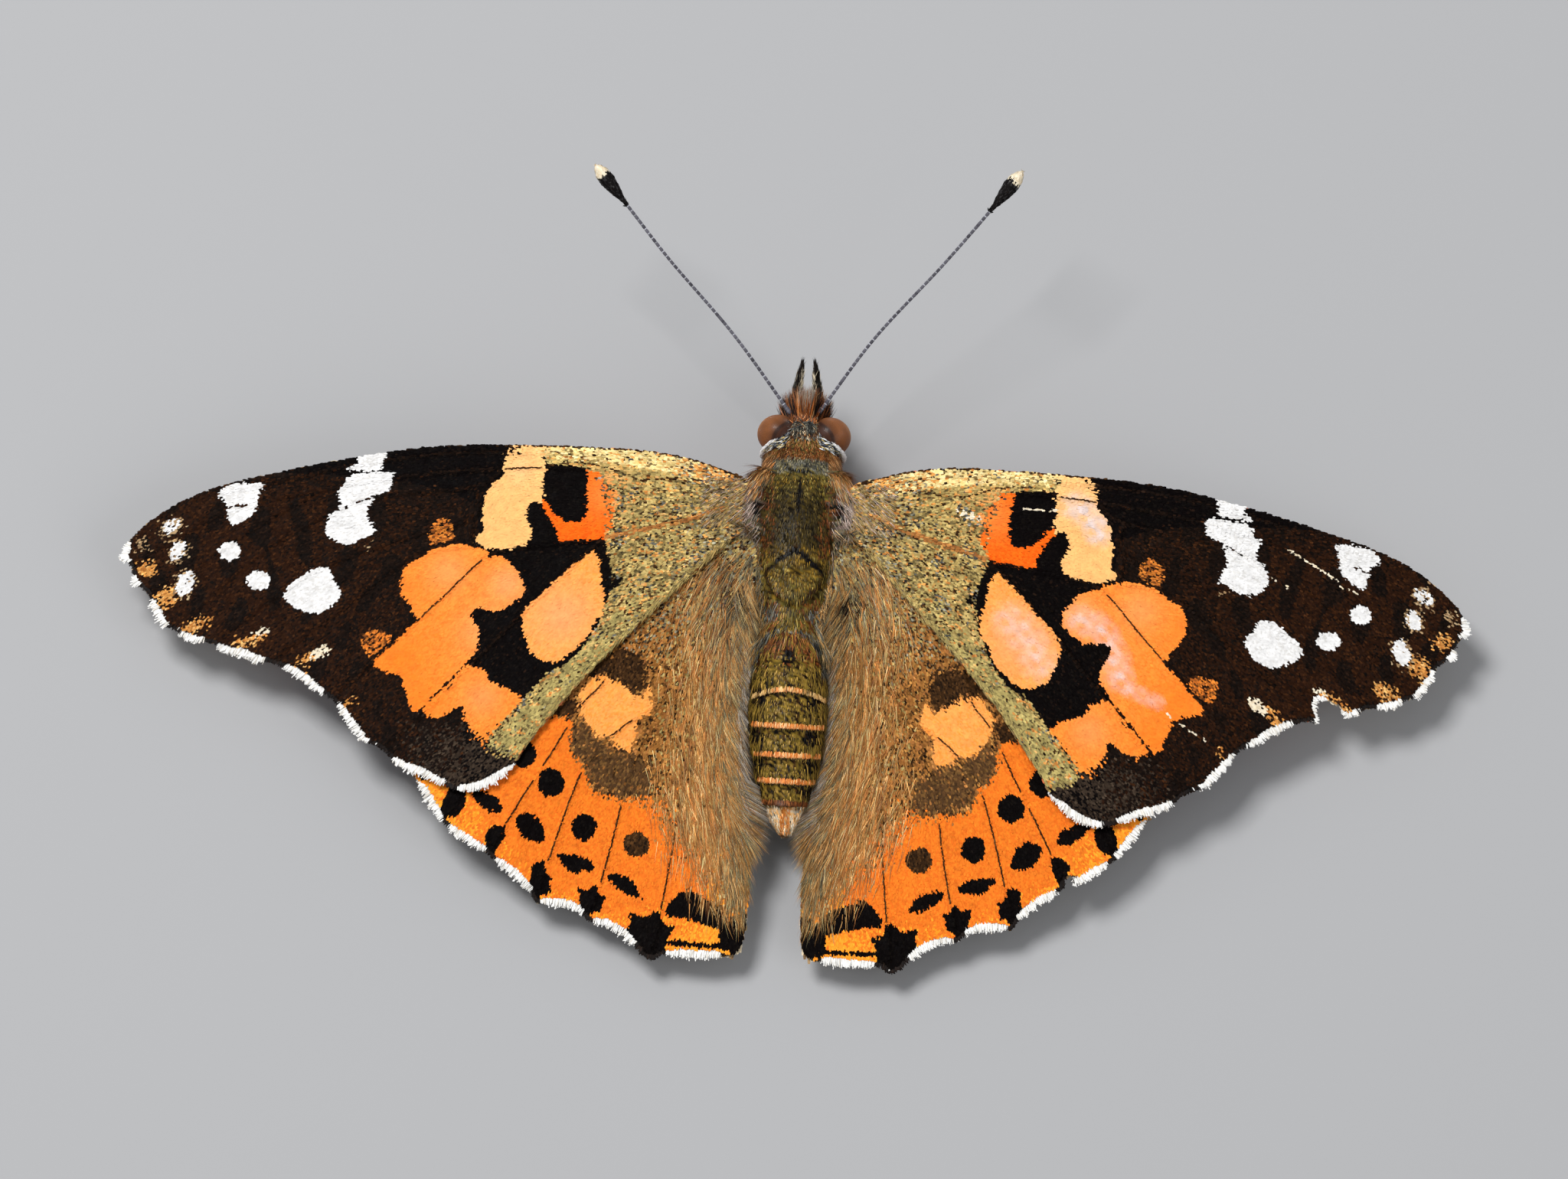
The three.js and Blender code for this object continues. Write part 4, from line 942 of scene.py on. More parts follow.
# Lenses and stars are closed lines, as their corners are sharp.
HIND_BLACKS = [
    [(8.55, -18.0), (9.1, -17.7), (9.5, -17.6), (10.25, -17.65), (9.9, -18.1), (9.5, -18.45),
     (9.2, -18.35), (8.6, -18.3)],
    [(6.25, -19.35), (6.6, -18.75), (7.1, -18.45), (7.85, -18.4), (7.6, -18.9), (7.2, -19.15),
     (6.7, -19.4), (6.2, -19.45)],
    [(10.9, -17.1), (10.95, -16.6), (11.2, -16.1), (11.8, -15.9), (12.3, -16.1), (12.1, -16.75),
     (11.7, -17.1)],
    [(13.0, -15.9), (13.1, -15.35), (13.7, -15.0), (14.2, -14.75), (14.75, -14.6), (14.4, -15.15),
     (13.95, -15.65), (13.5, -15.9)],
    [(14.75, -14.7), (15.3, -14.65), (15.7, -15.3), (15.8, -15.9), (15.5, -16.25), (15.1, -16.1),
     (14.75, -15.7)],
    [(5.4, -20.0), (5.75, -20.25), (6.2, -20.35), (6.75, -20.15), (6.65, -20.6), (6.75, -21.0),
     (6.4, -21.6), (6.1, -22.0), (5.6, -22.3), (5.2, -22.1), (4.95, -21.7), (4.85, -21.2),
     (4.6, -20.8), (5.1, -20.6)],
    [(8.35, -18.95), (8.75, -19.2), (9.2, -19.1), (9.1, -19.6), (9.0, -20.0), (8.75, -20.5),
     (8.5, -20.3), (8.1, -20.15), (8.0, -19.7), (7.85, -19.45), (8.2, -19.3)],
    [(10.85, -18.0), (11.4, -18.2), (11.45, -18.8), (11.4, -19.4), (11.15, -19.85), (10.85, -19.5),
     (10.5, -19.4), (10.5, -18.9), (10.35, -18.75), (10.75, -18.5)],
    [(12.85, -16.5), (13.4, -16.65), (13.65, -16.9), (13.6, -17.3), (13.45, -17.9), (13.15, -17.7),
     (12.85, -17.2), (12.75, -16.9)],
    [(16.55, -14.2), (16.95, -13.95), (16.95, -14.3), (16.75, -14.5)],
    [(2.1, -20.3), (2.4, -19.75), (3.1, -19.4), (3.7, -19.1), (4.1, -18.95), (4.6, -19.3),
     (5.05, -19.9), (4.9, -20.25), (4.3, -20.3), (3.4, -20.5), (2.6, -20.7), (2.2, -20.7)],
    [(1.35, -19.9), (2.0, -20.2), (2.5, -20.9), (2.45, -21.3), (3.2, -21.42), (4.8, -21.38),
     (4.9, -21.6), (3.2, -21.62), (2.1, -21.75), (1.8, -21.9), (1.1, -21.7), (1.1, -20.6)],
]


def paint_hindwing(x, y, seed):
    rng = np.random.default_rng(seed)
    colour = pick("ochre", len(x), rng)
    flecked = streaks(x, y, (3.6, 2.0), 8)
    lay(colour, rng,
        ("olive", True, 0.55 * ramp(x, 6.5, 3.5) + 0.2 * ramp(y, -8, -6)),
        ("rufous", flecked < 0.4, 0.7 * ramp(x, 3.2, 7.2)),
        ("root", True, 0.6 * ramp(x + y, 2.0, -1.0) * ramp(y, -9, -5)),
        ("umber", True, 0.06 + 0.34 * ramp(flecked, 0.5, 0.95)),
        ("rufous", x < 6, 0.8 * ramp(y, -14, -18)))
    colour = colour * (0.66 + 0.45 * clouds(x, y, 0.9, 9))[:, None]
    wobble = rng.normal(0, 1, (2, len(x))) * (0.1 + 0.4 * ramp(x, 8, 5))
    field = inside(x + wobble[0], y + wobble[1], HIND_FIELD)
    lay(colour, rng,
        ("tangerine", field, 1),
        ("gold", field, ramp(np.hypot(x - 6.5, y + 11.5), 8.2, 10.8)),
        ("gold", field & (x < 3.2), 0.8),
        ("straw", field & (x < 2.6) & (y > -20), 0.5))
    for palette, mark in HIND_MARKS:
        wobble = rng.normal(0, {"sepia": 0.15, "umber": 0.12}.get(palette, 0.06), (2, len(x)))
        held = inside(x + wobble[0], y + wobble[1], mark)
        lay(colour, rng, (palette, held, 0.9 if palette == "sepia" else 1))
    for palette, centre, half, turn, surely in HIND_SPOTS:
        lay(colour, rng, (palette, in_spot(x, y, centre, half, turn), surely))
    for mark in HIND_BLACKS:
        lay(colour, rng, ("ink", inside(x, y, mark, 4), 1))
    return colour


print(len(HIND_MARKS) + len(HIND_SPOTS) + len(HIND_BLACKS), "marks on a hindwing")

# %% [markdown]
# ## Markings of the under side
# Hidden in the usual view, but a part is turned over. Under the forewing the orange is rosier and the
# tip is buff; the hindwing below is a marble of brown, hazel and white with pale veins and a row of
# four ringed eye spots.

# %% Painting the under sides
EYE_SPOTS = [((14.2, -13.6), 0.62), ((12.1, -15.3), 0.5), ((9.6, -16.9), 0.52), ((6.9, -17.6), 0.66)]


def paint_forewing_under(x, y, seed):
    rng = np.random.default_rng(seed)
    colour = pick("rose", len(x), rng)
    lay(colour, rng,
        ("apricot", True, 0.7 * ramp(x, 6, 3.9)),
        ("umber", (x > 14.5) & (x < 22.5), 0.9))
    for palette, mark in FORE_MARKS[2:]:
        paler = "rose" if palette in ("ember", "apricot", "orange", "deep") else palette
        lay(colour, rng, (paler, inside(x, y, mark), 0.95))
    tip = x + 0.4 * y > 21.5
    lay(colour, rng,
        ("hazel", tip, 0.95),
        ("bone", tip & (clouds(x, y, 1.6, 12) > 0.55), 0.8))
    for palette, centre, half, turn, surely in FORE_SPOTS[:5]:
        lay(colour, rng, (palette, in_spot(x, y, centre, half, turn), surely))
    lay(colour, rng,
        ("bone", WINGS["forewing"].off_vein(x, y) < 0.07, 0.6),
        ("hazel", (y < -0.95 * (x - 2) - 1.1) & (x < 14), 0.8))
    return colour


def paint_hindwing_under(x, y, seed):
    rng = np.random.default_rng(seed)
    colour = pick("hazel", len(x), rng)
    marble = clouds(x, y, 2.1, 21)
    out = np.hypot(x - 6.5, y + 9.5)
    lay(colour, rng,
        ("sepia", marble > 0.58, 0.9),
        ("bone", (marble < 0.4) & (clouds(x, y, 0.9, 22) > 0.35), 0.92),
        ("bone", (out > 9.2) & (out < 9.9), 0.85),
        ("hazel", out > 11.2, 0.8),
        ("bone", x < 2.9, 0.7))
    for centre, size in EYE_SPOTS:
        for palette, share in (("umber", 1.25), ("gold", 1.05), ("ink", 0.72), ("root", 0.34)):
            lay(colour, rng, (palette, in_spot(x, y, centre, (size * share, size * share)), 0.97))
    lay(colour, rng, ("bone", WINGS["hindwing"].off_vein(x, y) < 0.09, 0.85))
    return colour


PAINTERS = {("forewing", 1): paint_forewing, ("hindwing", 1): paint_hindwing,
            ("forewing", -1): paint_forewing_under, ("hindwing", -1): paint_hindwing_under}
print("painters for", len(PAINTERS), "faces")

# %% [markdown]
# ## The film of each wing
# The film could be a solidified plane, but its thickness would be the same on a vein and off it. Here
# the plan is triangulated between its rim and its veins, and the same triangles make the upper and
# the under face, joined by a narrow wall round the rim, so the shell is closed and the veins are in
# its own surface. It ends a little inside the outline, where the fringe takes over.

# %% Making a film
FILL_STEP = 0.3
RIM_STEP = 0.25
CROWDED = 0.1  # of the points nearer together than this, one is kept
TEAR = (25.4, -8.5)


def outline_of(kind, side):
    torn = side > 0
    if kind == "forewing":
        points = FORE_FRONT + FORE_TIP + (FORE_TORN_RIM if torn else FORE_WHOLE_RIM) + FORE_REAR
    else:
        points = HIND_FRONT + (HIND_NICKED_RIM if torn else HIND_WHOLE_RIM) + HIND_REAR
    return spline(points, 6, closed=True)


def left_of(run):
    return columns(-run[:, 1], run[:, 0])


def inset(loop, depth):
    """A closed line moved towards its inside. Both wings run clockwise seen from above."""
    run = unit(np.roll(loop, -1, 0) - np.roll(loop, 1, 0))
    return loop - left_of(run) * depth[:, None]


def fringe_share(kind, side, points):
    """1 along the outer edge, which has a fringe, and 0 along the front edge, the root and the tear."""
    x, y = points.T
    if kind == "hindwing":
        return ramp(y, -14.2, -14.8) * ramp(x, 1.9, 2.4)
    share = np.minimum(ramp(y, -2.9, -3.5), ramp(x, 12.4, 13.0))
    return share * ramp(np.hypot(x - TEAR[0], y - TEAR[1]), 0.55, 0.8) if side > 0 else share


def hexagons(loop, across, along):
    """Rows of places over a closed line's box, every other row shifted by half a step."""
    low, high = loop.min(0), loop.max(0)
    return np.array([(x + (k % 2) * across / 2, y) for k, y in enumerate(np.arange(low[1], high[1], along))
                     for x in np.arange(low[0], high[0], across)])


def film_plan(kind, side):
    wing = WINGS[kind]
    rim = evenly(outline_of(kind, side), RIM_STEP, closed=True)[0]
    rim = inset(rim, 0.04 + FRINGE * fringe_share(kind, side, rim))
    fill = hexagons(rim, FILL_STEP, FILL_STEP * 0.87)
    fill = fill[wing.off_vein(*fill.T) > FILL_STEP * 0.75]
    ribs = []
    for line in wing.veins:
        beside = left_of(unit(np.gradient(line, axis=0))) * VEIN_HALF * 1.5
        ribs += [line, line + beside, line - beside]
    loose = np.vstack([fill, *ribs])
    loose = loose[within(*loose.T, inset(rim, np.full(len(rim), 0.12)))]
    _, first = np.unique(np.round(loose / CROWDED), axis=0, return_index=True)
    points = np.vstack([rim, loose[first]])
    result = delaunay_2d_cdt([Vector(p) for p in points], [], [list(range(len(rim)))], 1, 1e-5)
    plan = np.array([v[:] for v in result[0]])
    faces = np.array([f for f in result[2] if len(f) == 3])
    a, b, c = (plan[faces[:, k]] for k in range(3))
    turned = np.cross(b - a, c - a) < 0
    faces[turned] = faces[turned][:, ::-1]
    return plan, faces


def open_edges(faces):
    edges = np.vstack([faces[:, [0, 1]], faces[:, [1, 2]], faces[:, [2, 0]]])
    there = {(a, b) for a, b in edges.tolist()}
    return np.array([(a, b) for a, b in edges.tolist() if (b, a) not in there])


def new_mesh(name, points, faces, material, colours):
    data = bpy.data.meshes.new(name)
    data.from_pydata(placed(points).tolist(), [], [list(f) for f in faces])
    data.materials.append(material)
    give_colour(data, colours)
    data.polygons.foreach_set("use_smooth", np.ones(len(data.polygons), bool))
    return data


def on_map_of(kind, plan, face):
    """A place on the wing's flat map: the upper face on its upper half, the under face below it."""
    low, size = {"forewing": ((1.5, -16), 32.0), "hindwing": ((0.5, -23.5), 24.0)}[kind]
    u = (plan[:, 0] - low[0]) / size
    v = (plan[:, 1] - low[1]) / size
    if kind == "forewing":
        v = v + (0.5 if face > 0 else -0.08)
        return columns(0.01 + 0.97 * u, np.clip(0.01 + 0.85 * v, 0.005, 0.995))
    return columns((0.0 if face > 0 else 0.5) + 0.01 + 0.48 * u * 1.35, 0.01 + 0.97 * v)


def give_map(data, spots, closed=False):
    """Puts a skin on the bake map. On a closed map, no triangle spans it from edge to edge."""
    data.uv_layers.new(name="OFBake", do_init=False)
    corner = np.empty(len(data.loops), np.int32)
    data.loops.foreach_get("vertex_index", corner)
    spots = spots[corner].reshape(-1, 3, 2)
    if closed:
        u = spots[:, :, 0]
        wraps = np.ptp(u, axis=1)[:, None] > 0.5
        spots[:, :, 0] = np.minimum(np.where(wraps & (u < 0.5), u + 0.95, u), 0.995)
    data.uv_layers["OFBake"].uv.foreach_set("vector", spots.astype(np.float32).ravel())


def make_film(kind, name, side):
    wing = WINGS[kind]
    plan, faces = film_plan(kind, side)
    x, y = plan.T
    top = columns(side * x, y, wing.top(x, y))
    under = columns(side * x, y, wing.under(x, y))
    n = len(plan)
    wall = open_edges(faces)
    around = np.vstack([columns(wall[:, 0], n + wall[:, 0], wall[:, 1]),
                        columns(wall[:, 1], n + wall[:, 0], n + wall[:, 1])])
    shell = np.vstack([faces, n + faces[:, ::-1], around])
    if side < 0:
        shell = shell[:, ::-1]
    colours = np.vstack([PAINTERS[kind, 1](x, y, 11) * 0.8, PAINTERS[kind, -1](x, y, 12) * 0.8])
    data = new_mesh(f"{kind}_{name}_film", np.vstack([top, under]), shell, MATERIALS["wing_skin"], colours)
    give_map(data, np.vstack([on_map_of(kind, plan, 1), on_map_of(kind, plan, -1)]))
    keep(data.name, data, [f"{kind}_{name}"])
    print(f"{data.name}: {len(plan)} points a face, {len(shell)} triangles")


for kind in WINGS:
    for name, side in SIDES.items():
        make_film(kind, name, side)

# %% [markdown]
# ## The scales
# Scales sit like roof tiles in rows across the wing, each with its root under the one before. Their
# places are a grid of hexagons with a little jitter, their lie is the run of the veins, and each is
# tilted so that its tip clears the next one's root. They are somewhat larger than in life, which keeps
# each piece within the limit of its file. Narrow dark scales stand on the veins where these cross a
# bright mark, and the right forewing has scratches and pale places that are partly rubbed scales and
# partly a painted highlight of glare.

# %% Covering both faces
# Steps across and along the rows, width and length, on the upper (1) and the under (-1) face.
SCALE_COATS = {
    1: {"forewing": (0.08, 0.086, 0.104, 0.185), "hindwing": (0.078, 0.084, 0.102, 0.18)},
    -1: {"forewing": (0.15, 0.17, 0.19, 0.34), "hindwing": (0.13, 0.15, 0.165, 0.3)},
}
TILT = 0.16
VEIN_SCALE = (0.08, 0.19)  # width and length of the scales on the veins
RAGGED = 0.03  # how far a scale's colour strays past the edge of its mark
# Scratches on the right forewing, and one pale streak that is partly worn scales and partly a painted glare
# highlight: how wide, how surely a scale shows it, line.
SCRATCHES_AND_GLARE = [
    (0.05, 0.9, [(10.3, -0.23), (11.2, -0.2), (12.2, -0.15)]),
    # This pale streak is partly worn scales and partly a painted glare highlight.
    (0.16, 0.5, [(7.45, -0.62), (8.4, -0.9)]),
    (0.05, 0.75, [(23.0, -0.98), (24.3, -1.59), (25.4, -2.2)]),
    (0.04, 0.6, [(25.6, -2.48), (26.6, -2.76)]),
    (0.04, 0.5, [(22.1, -2.28), (23.1, -2.75)]),
    (0.05, 0.5, [(17.8, -9.44), (19.6, -10.5)]),
]
# Pale places, partly rubbed scales and partly a painted highlight of glare: how far that reaches, how much,
# line.
GLARE_AND_RUBBED = [
    (0.9, 0.95, [(13.0, 0.1), (13.7, -0.3), (14.1, -1.0)]),
    (0.85, 0.6, [(13.5, -5.3), (14.4, -5.6), (15.1, -6.7), (15.5, -7.9)]),
    (1.1, 0.5, [(10.2, -5.6), (11.2, -6.6), (11.7, -7.6)]),
    (0.5, 0.45, [(15.9, -8.4), (17.3, -8.9)]),
]


def seed_of(kind, side, face):
    """A seed of its own for each coat, the same in every run."""
    return 100 + 10 * (kind == "hindwing") + 3 * (side > 0) + (face > 0)


def laid_flat(way, up):
    """A way turned into the surface on which up stands."""
    return unit(way - up * np.sum(way * up, 1, keepdims=True))


def grow_on_wing(name, coat, material, kind, side, roots, lie, up, size, bend, colour, on_map):
    """A coat worked out for the right wing, and turned over for the left one."""
    turn = np.array([side, 1, 1])
    grow(name, coat, MATERIALS[material], f"{kind}_scales", roots * turn, lie * turn, up * turn, size,
         bend * turn, colour, on_map)


# Pale scratches, and a pinkish-white tint that is partly rubbed scales and partly a painted glare highlight.
def glare_rubbed_and_scratched(colour, x, y, rng):
    patchy = ramp(colour[:, 0], 0.3, 0.6) * (0.25 + 1.1 * clouds(x, y, 0.7, 8))
    for reach, depth, line in GLARE_AND_RUBBED:
        share = patchy * depth * ramp(off_line(x, y, line, reach), reach, 0.1 * reach)
        colour = tint(colour, (226, 204, 196), np.minimum(share, 1))
    for reach, surely, line in SCRATCHES_AND_GLARE:
        lay(colour, rng, ("bone", near_line(x, y, line, reach), surely))
    return colour


def bright_veins(kind, edge):
    """Places along the veins where the mark on every side of them is bright."""
    spots = np.vstack([evenly(line, VEIN_SCALE[1] / 2)[0] for line in WINGS[kind].veins])
    spots = spots[within(*spots.T, edge) & (spots[:, 1] < 0.6)]
    for beside in ((-0.16, -0.16), (-0.16, 0.16), (0.16, -0.16), (0.16, 0.16)):
        ground = PAINTERS[kind, 1](*(spots + beside).T, 5)
        spots = spots[(ground[:, 0] > 0.5) & (ground[:, 2] < 0.35)]
    return spots


def make_scales(kind, name, side, face):
    wing = WINGS[kind]
    across, along, width, length = SCALE_COATS[face][kind]
    rng = np.random.default_rng(seed_of(kind, side, face))
    rim = evenly(outline_of(kind, side), RIM_STEP, closed=True)[0]
    edge = inset(rim, 0.02 + (FRINGE + 0.04) * fringe_share(kind, side, rim))
    spots = hexagons(edge, across, along)
    spots += rng.normal(0, 0.15, spots.shape) * (across, along)
    spots = spots[within(*spots.T, edge)]
    on_veins = bright_veins(kind, edge) if face > 0 else spots[:0]
    thin = np.arange(len(spots) + len(on_veins)) >= len(spots)
    spots = np.vstack([spots, on_veins])
    x, y = spots.T
    run = unit(wing.read(wing.run, x, y))
    yaw = rng.normal(0, 0.1, len(x))
    c, s = np.cos(yaw), np.sin(yaw)
    run = columns(run[:, 0] * c - run[:, 1] * s, run[:, 0] * s + run[:, 1] * c)
    size = columns(width * rng.uniform(0.85, 1.12, len(x)), length * rng.uniform(0.85, 1.15, len(x)), 1)
    size[thin, :2] = VEIN_SCALE
    astray = run * rng.normal(0, RAGGED, (len(x), 1)) + rng.normal(0, RAGGED / 2, spots.shape)
    middle = spots + run * size[:, 1:2] * 0.5 + astray
    colour = PAINTERS[kind, face](*middle.T, seed_of(kind, side, face) + 1)
    # The right forewing's upper side gets scratches, rubbed places and painted glare highlights.
    if (kind, side, face) == ("forewing", 1, 1):
        colour = glare_rubbed_and_scratched(colour, *middle.T, rng)
    colour[thin] = pick("umber", thin.sum(), rng)
    up = wing.up(x, y, face)
    surface = wing.top if face > 0 else wing.under
    height = surface(x, y) + face * np.where(thin, 0.04, 0.012)
    lie = laid_flat(columns(*run.T, 0), up) + up * (TILT + rng.normal(0, 0.05, (len(x), 1)))
    roll = rng.normal(0, 0.1, (len(x), 1))
    up = unit(up + np.cross(lie, up) * roll)
    grow_on_wing(f"{kind}_{name}_{'upper' if face > 0 else 'under'}_scales", "scale", "wing_scales", kind,
                 side, columns(x, y, height), lie, up, size, up * -0.02, colour,
                 on_map_of(kind, spots, face))


for kind in WINGS:
    for name, side in SIDES.items():
        for face in (1, -1):
            make_scales(kind, name, side, face)

# %% [markdown]
# ## The fringe
# Long narrow scales stand out all along the outer edge, white in the bays between the veins and dark
# at each vein's end, longest in the middle of each bay. They are set in four rows, so that the edge
# looks combed and not cut.

# %% Fringes
# Where each white bay starts and ends, from the tip round to the rear.
WHITE_BAYS = {
    "forewing": [((31.5, -3.2), (31.45, -4.4)), ((31.15, -4.95), (30.95, -5.65)),
                 ((30.2, -6.1), (29.4, -7.5)), ((28.75, -7.8), (27.6, -8.2)),
                 ((26.9, -8.4), (24.6, -9.2)), ((23.7, -9.35), (21.7, -10.6)),
                 ((21.1, -11.2), (19.5, -12.9)), ((18.3, -13.7), (15.8, -14.9)),
                 ((15.0, -15.1), (12.4, -13.7))],
    "hindwing": [((17.15, -14.1), (15.85, -16.4)), ((15.5, -16.75), (13.7, -17.75)),
                 ((13.2, -18.15), (11.5, -19.4)), ((10.9, -19.95), (9.0, -20.3)),
                 ((8.35, -20.75), (6.5, -21.7)), ((4.85, -22.1), (2.3, -22.0))],
}
FRINGE_ROWS = ((0.34, 0.03), (0.27, 0.0), (0.19, -0.03), (0.36, -0.05))  # how deep, how high
VEIN_END = 0.6  # how long the fringe is between two bays, as a share


def bays_of(kind, loop):
    """0 between the white bays and up to 1 in the middle of each."""
    bulge = np.zeros(len(loop))
    for start, end in WHITE_BAYS[kind]:
        first, last = sorted(np.argmin(np.hypot(*(loop - p).T)) for p in (start, end))
        bulge[first : last + 1] = np.sin(np.linspace(0.05, math.pi - 0.05, last + 1 - first)) ** 0.5
    return bulge


def make_fringe(kind, name, side):
    wing = WINGS[kind]
    rng = np.random.default_rng(seed_of(kind, side, 1) + 50)
    loop, run, _ = evenly(outline_of(kind, side), 0.028, closed=True)
    bulge = bays_of(kind, loop)
    share = fringe_share(kind, side, loop)
    outward = left_of(run)
    rows = []
    for depth, lift in FRINGE_ROWS:
        face = 1 if lift >= 0 else -1
        spot = loop - outward * (0.3 * share + 0.03)[:, None] + rng.normal(0, 0.02, loop.shape)
        x, y = spot.T
        inner = wing.read(wing.run, x, y)
        way = unit(outward * 0.8 + inner * 0.35 + rng.normal(0, 0.14, loop.shape))
        grown = VEIN_END + (1.12 - VEIN_END) * bulge
        tufted = 0.75 + 0.5 * clouds(x, y, 0.22, 33)
        reach = depth * share * grown * tufted * rng.uniform(0.75, 1.1, len(x)) + 0.06
        white = bulge + rng.normal(0, 0.1, len(x)) > 0.25
        kept = (share > 0.05) & (rng.random(len(x)) < 0.9)
        parts = (columns(x, y, wing.height(x, y) + lift), columns(*way.T, lift * 0.5), wing.up(x, y, face),
                 columns(rng.uniform(0.04, 0.065, len(x)), reach, 1), wing.up(x, y, 1) * -0.03,
                 np.where(white[:, None], pick("lace", len(x), rng), pick("soot", len(x), rng)),
                 on_map_of(kind, spot, face))
        rows.append([part[kept] for part in parts])
    grow_on_wing(f"{kind}_{name}_fringe", "scale", "fringe", kind, side,
                 *(np.vstack(parts) for parts in zip(*rows)))


for kind in WINGS:
    for name, side in SIDES.items():
        make_fringe(kind, name, side)

# %% [markdown]
# ## The body
# Head, thorax and abdomen are three boxes of plates under one coat, and no seam between them shows.
# So one skin is lofted through all their cross-sections. It lies under the solids' surface by the
# depth of the coat, and swells over the two shoulder flaps and the shield at the thorax's rear. The
# rings of the abdomen overlap like the sections of a telescope: each rear edge stands out a little, and
# the rings lean forward at the sides.

# %% Cross-sections and skin
# Place along the body, sideways shift, half width, top and bottom height, from the tail to the brow.
SECTIONS = [
    (-16.1, 0.3, 0.42, 2.95, 2.1), (-15.7, 0.27, 0.68, 3.2, 1.8), (-15.05, 0.22, 1.06, 3.6, 1.55),
    (-14.1, 0.2, 1.4, 4.05, 1.45), (-13.0, 0.18, 1.68, 4.45, 1.5), (-11.6, 0.12, 1.9, 4.9, 1.6),
    (-10.0, 0.08, 1.98, 5.25, 1.75), (-8.5, 0.03, 1.92, 5.45, 1.95), (-7.4, 0, 1.8, 5.42, 2.25),
    (-6.65, 0, 1.68, 5.4, 2.45), (-6.0, 0, 1.85, 5.5, 2.4), (-5.2, 0, 2.1, 5.75, 2.25),
    (-4.2, 0, 2.3, 6.08, 2.1), (-3.0, 0, 2.45, 6.4, 2.0), (-1.5, 0, 2.5, 6.6, 1.95),
    (0.0, 0, 2.42, 6.45, 2.1), (1.0, 0, 2.28, 6.12, 2.35), (1.8, 0, 2.05, 5.8, 2.7),
    (NECK_Y, 0, 1.92, 5.58, 2.95), (2.55, 0, 1.8, 5.45, 3.0), (2.95, 0, 1.55, 5.38, 3.0),
    (3.6, 0, 1.25, 5.3, 2.85), (4.2, 0, 0.95, 5.1, 2.95), (4.65, 0, 0.7, 4.8, 3.2),
    (4.9, 0, 0.35, 4.4, 3.5),
]
SEGMENT_ENDS = (-8.3, -9.95, -11.65, -12.95, -14.1, -15.05)
SEGMENT_STEP = 0.11
SEGMENT_RUN = 0.7
LEAN = 0.36  # how far a ring leans forward at the sides, for each millimetre that they are lower
FLAPS = {"centre": (2.02, -0.55, 5.75), "radii": (0.55, 1.7, 0.42), "turn": 0.12}
SHIELD = {"centre": (0, -4.2, 5.62), "radii": (1.35, 1.3, 0.22), "turn": 0.0}
DEPTH = {"abdomen": 0.1, "thorax": 0.28, "head": 0.16}  # of the coat
BODY_SIDES = 72
BODY_STEP = 0.11


def section_at(y):
    fine = spline(SECTIONS, 10)
    return [np.interp(y, fine[:, 0], fine[:, k]) for k in range(1, 5)]


def coat_depth(y):
    return np.interp(y, [-7.2, -6.2, 1.6, 2.6], [DEPTH["abdomen"], DEPTH["thorax"], DEPTH["thorax"],
                                                DEPTH["head"]])


def on_back(y, z):
    """The place on the ridge of the back that belongs to the same ring."""
    return y - LEAN * np.clip(section_at(y)[2] - z, 0, 1.8)


def segment_inset(y):
    inset_by = np.zeros_like(y)
    for end in SEGMENT_ENDS:
        behind = (end - y) / SEGMENT_RUN
        step = SEGMENT_STEP * (1 - behind)
        inset_by = np.where((behind > 0) & (behind < 1), np.maximum(inset_by, step), inset_by)
    return inset_by


def reach_of(bump, side, y, centre_z, way_x, way_z):
    """How far out a ray from the body's axis meets a bump, or 0 where it misses."""
    cx, cy, cz = bump["centre"]
    rx, ry, rz = bump["radii"]
    cx = side * (cx - math.tan(bump["turn"]) * (y - cy))
    left = 1 - ((y - cy) / ry) ** 2
    a = (way_x / rx) ** 2 + (way_z / rz) ** 2
    b = -(way_x * cx / rx**2 + way_z * (cz - centre_z) / rz**2)
    c = (cx / rx) ** 2 + ((cz - centre_z) / rz) ** 2 - left
    inside = b * b - a * c
    return np.where((left > 0) & (inside > 0), (-b + np.sqrt(np.maximum(inside, 0))) / a, 0)


def facing_out(points, faces):
    """The faces of a closed shell, turned so that they point out of it."""
    a, b, c = (points[faces[:, k]] for k in range(3))
    return faces if np.sum(a * np.cross(b, c)) > 0 else faces[:, ::-1]


def shell_over(rings):
    """Triangles over rings of points, with a fan at either end."""
    count, sides = rings.shape[:2]
    k, s = np.meshgrid(np.arange(count - 1), np.arange(sides), indexing="ij")
    a, b = k * sides + s, k * sides + (s + 1) % sides
    quads = np.stack([a, a + sides, b + sides, b], -1).reshape(-1, 4)
    hubs = np.array([rings[0].mean(0), rings[-1].mean(0)])
    points = np.vstack([rings.reshape(-1, 3), hubs])
    s = np.arange(sides)
    first = columns(s, (s + 1) % sides, count * sides)
    last = (count - 1) * sides
    end = columns(last + (s + 1) % sides, last + s, count * sides + 1)
    faces = np.vstack([quads[:, [0, 1, 2]], quads[:, [0, 2, 3]], first, end])
    return points, facing_out(points, faces)


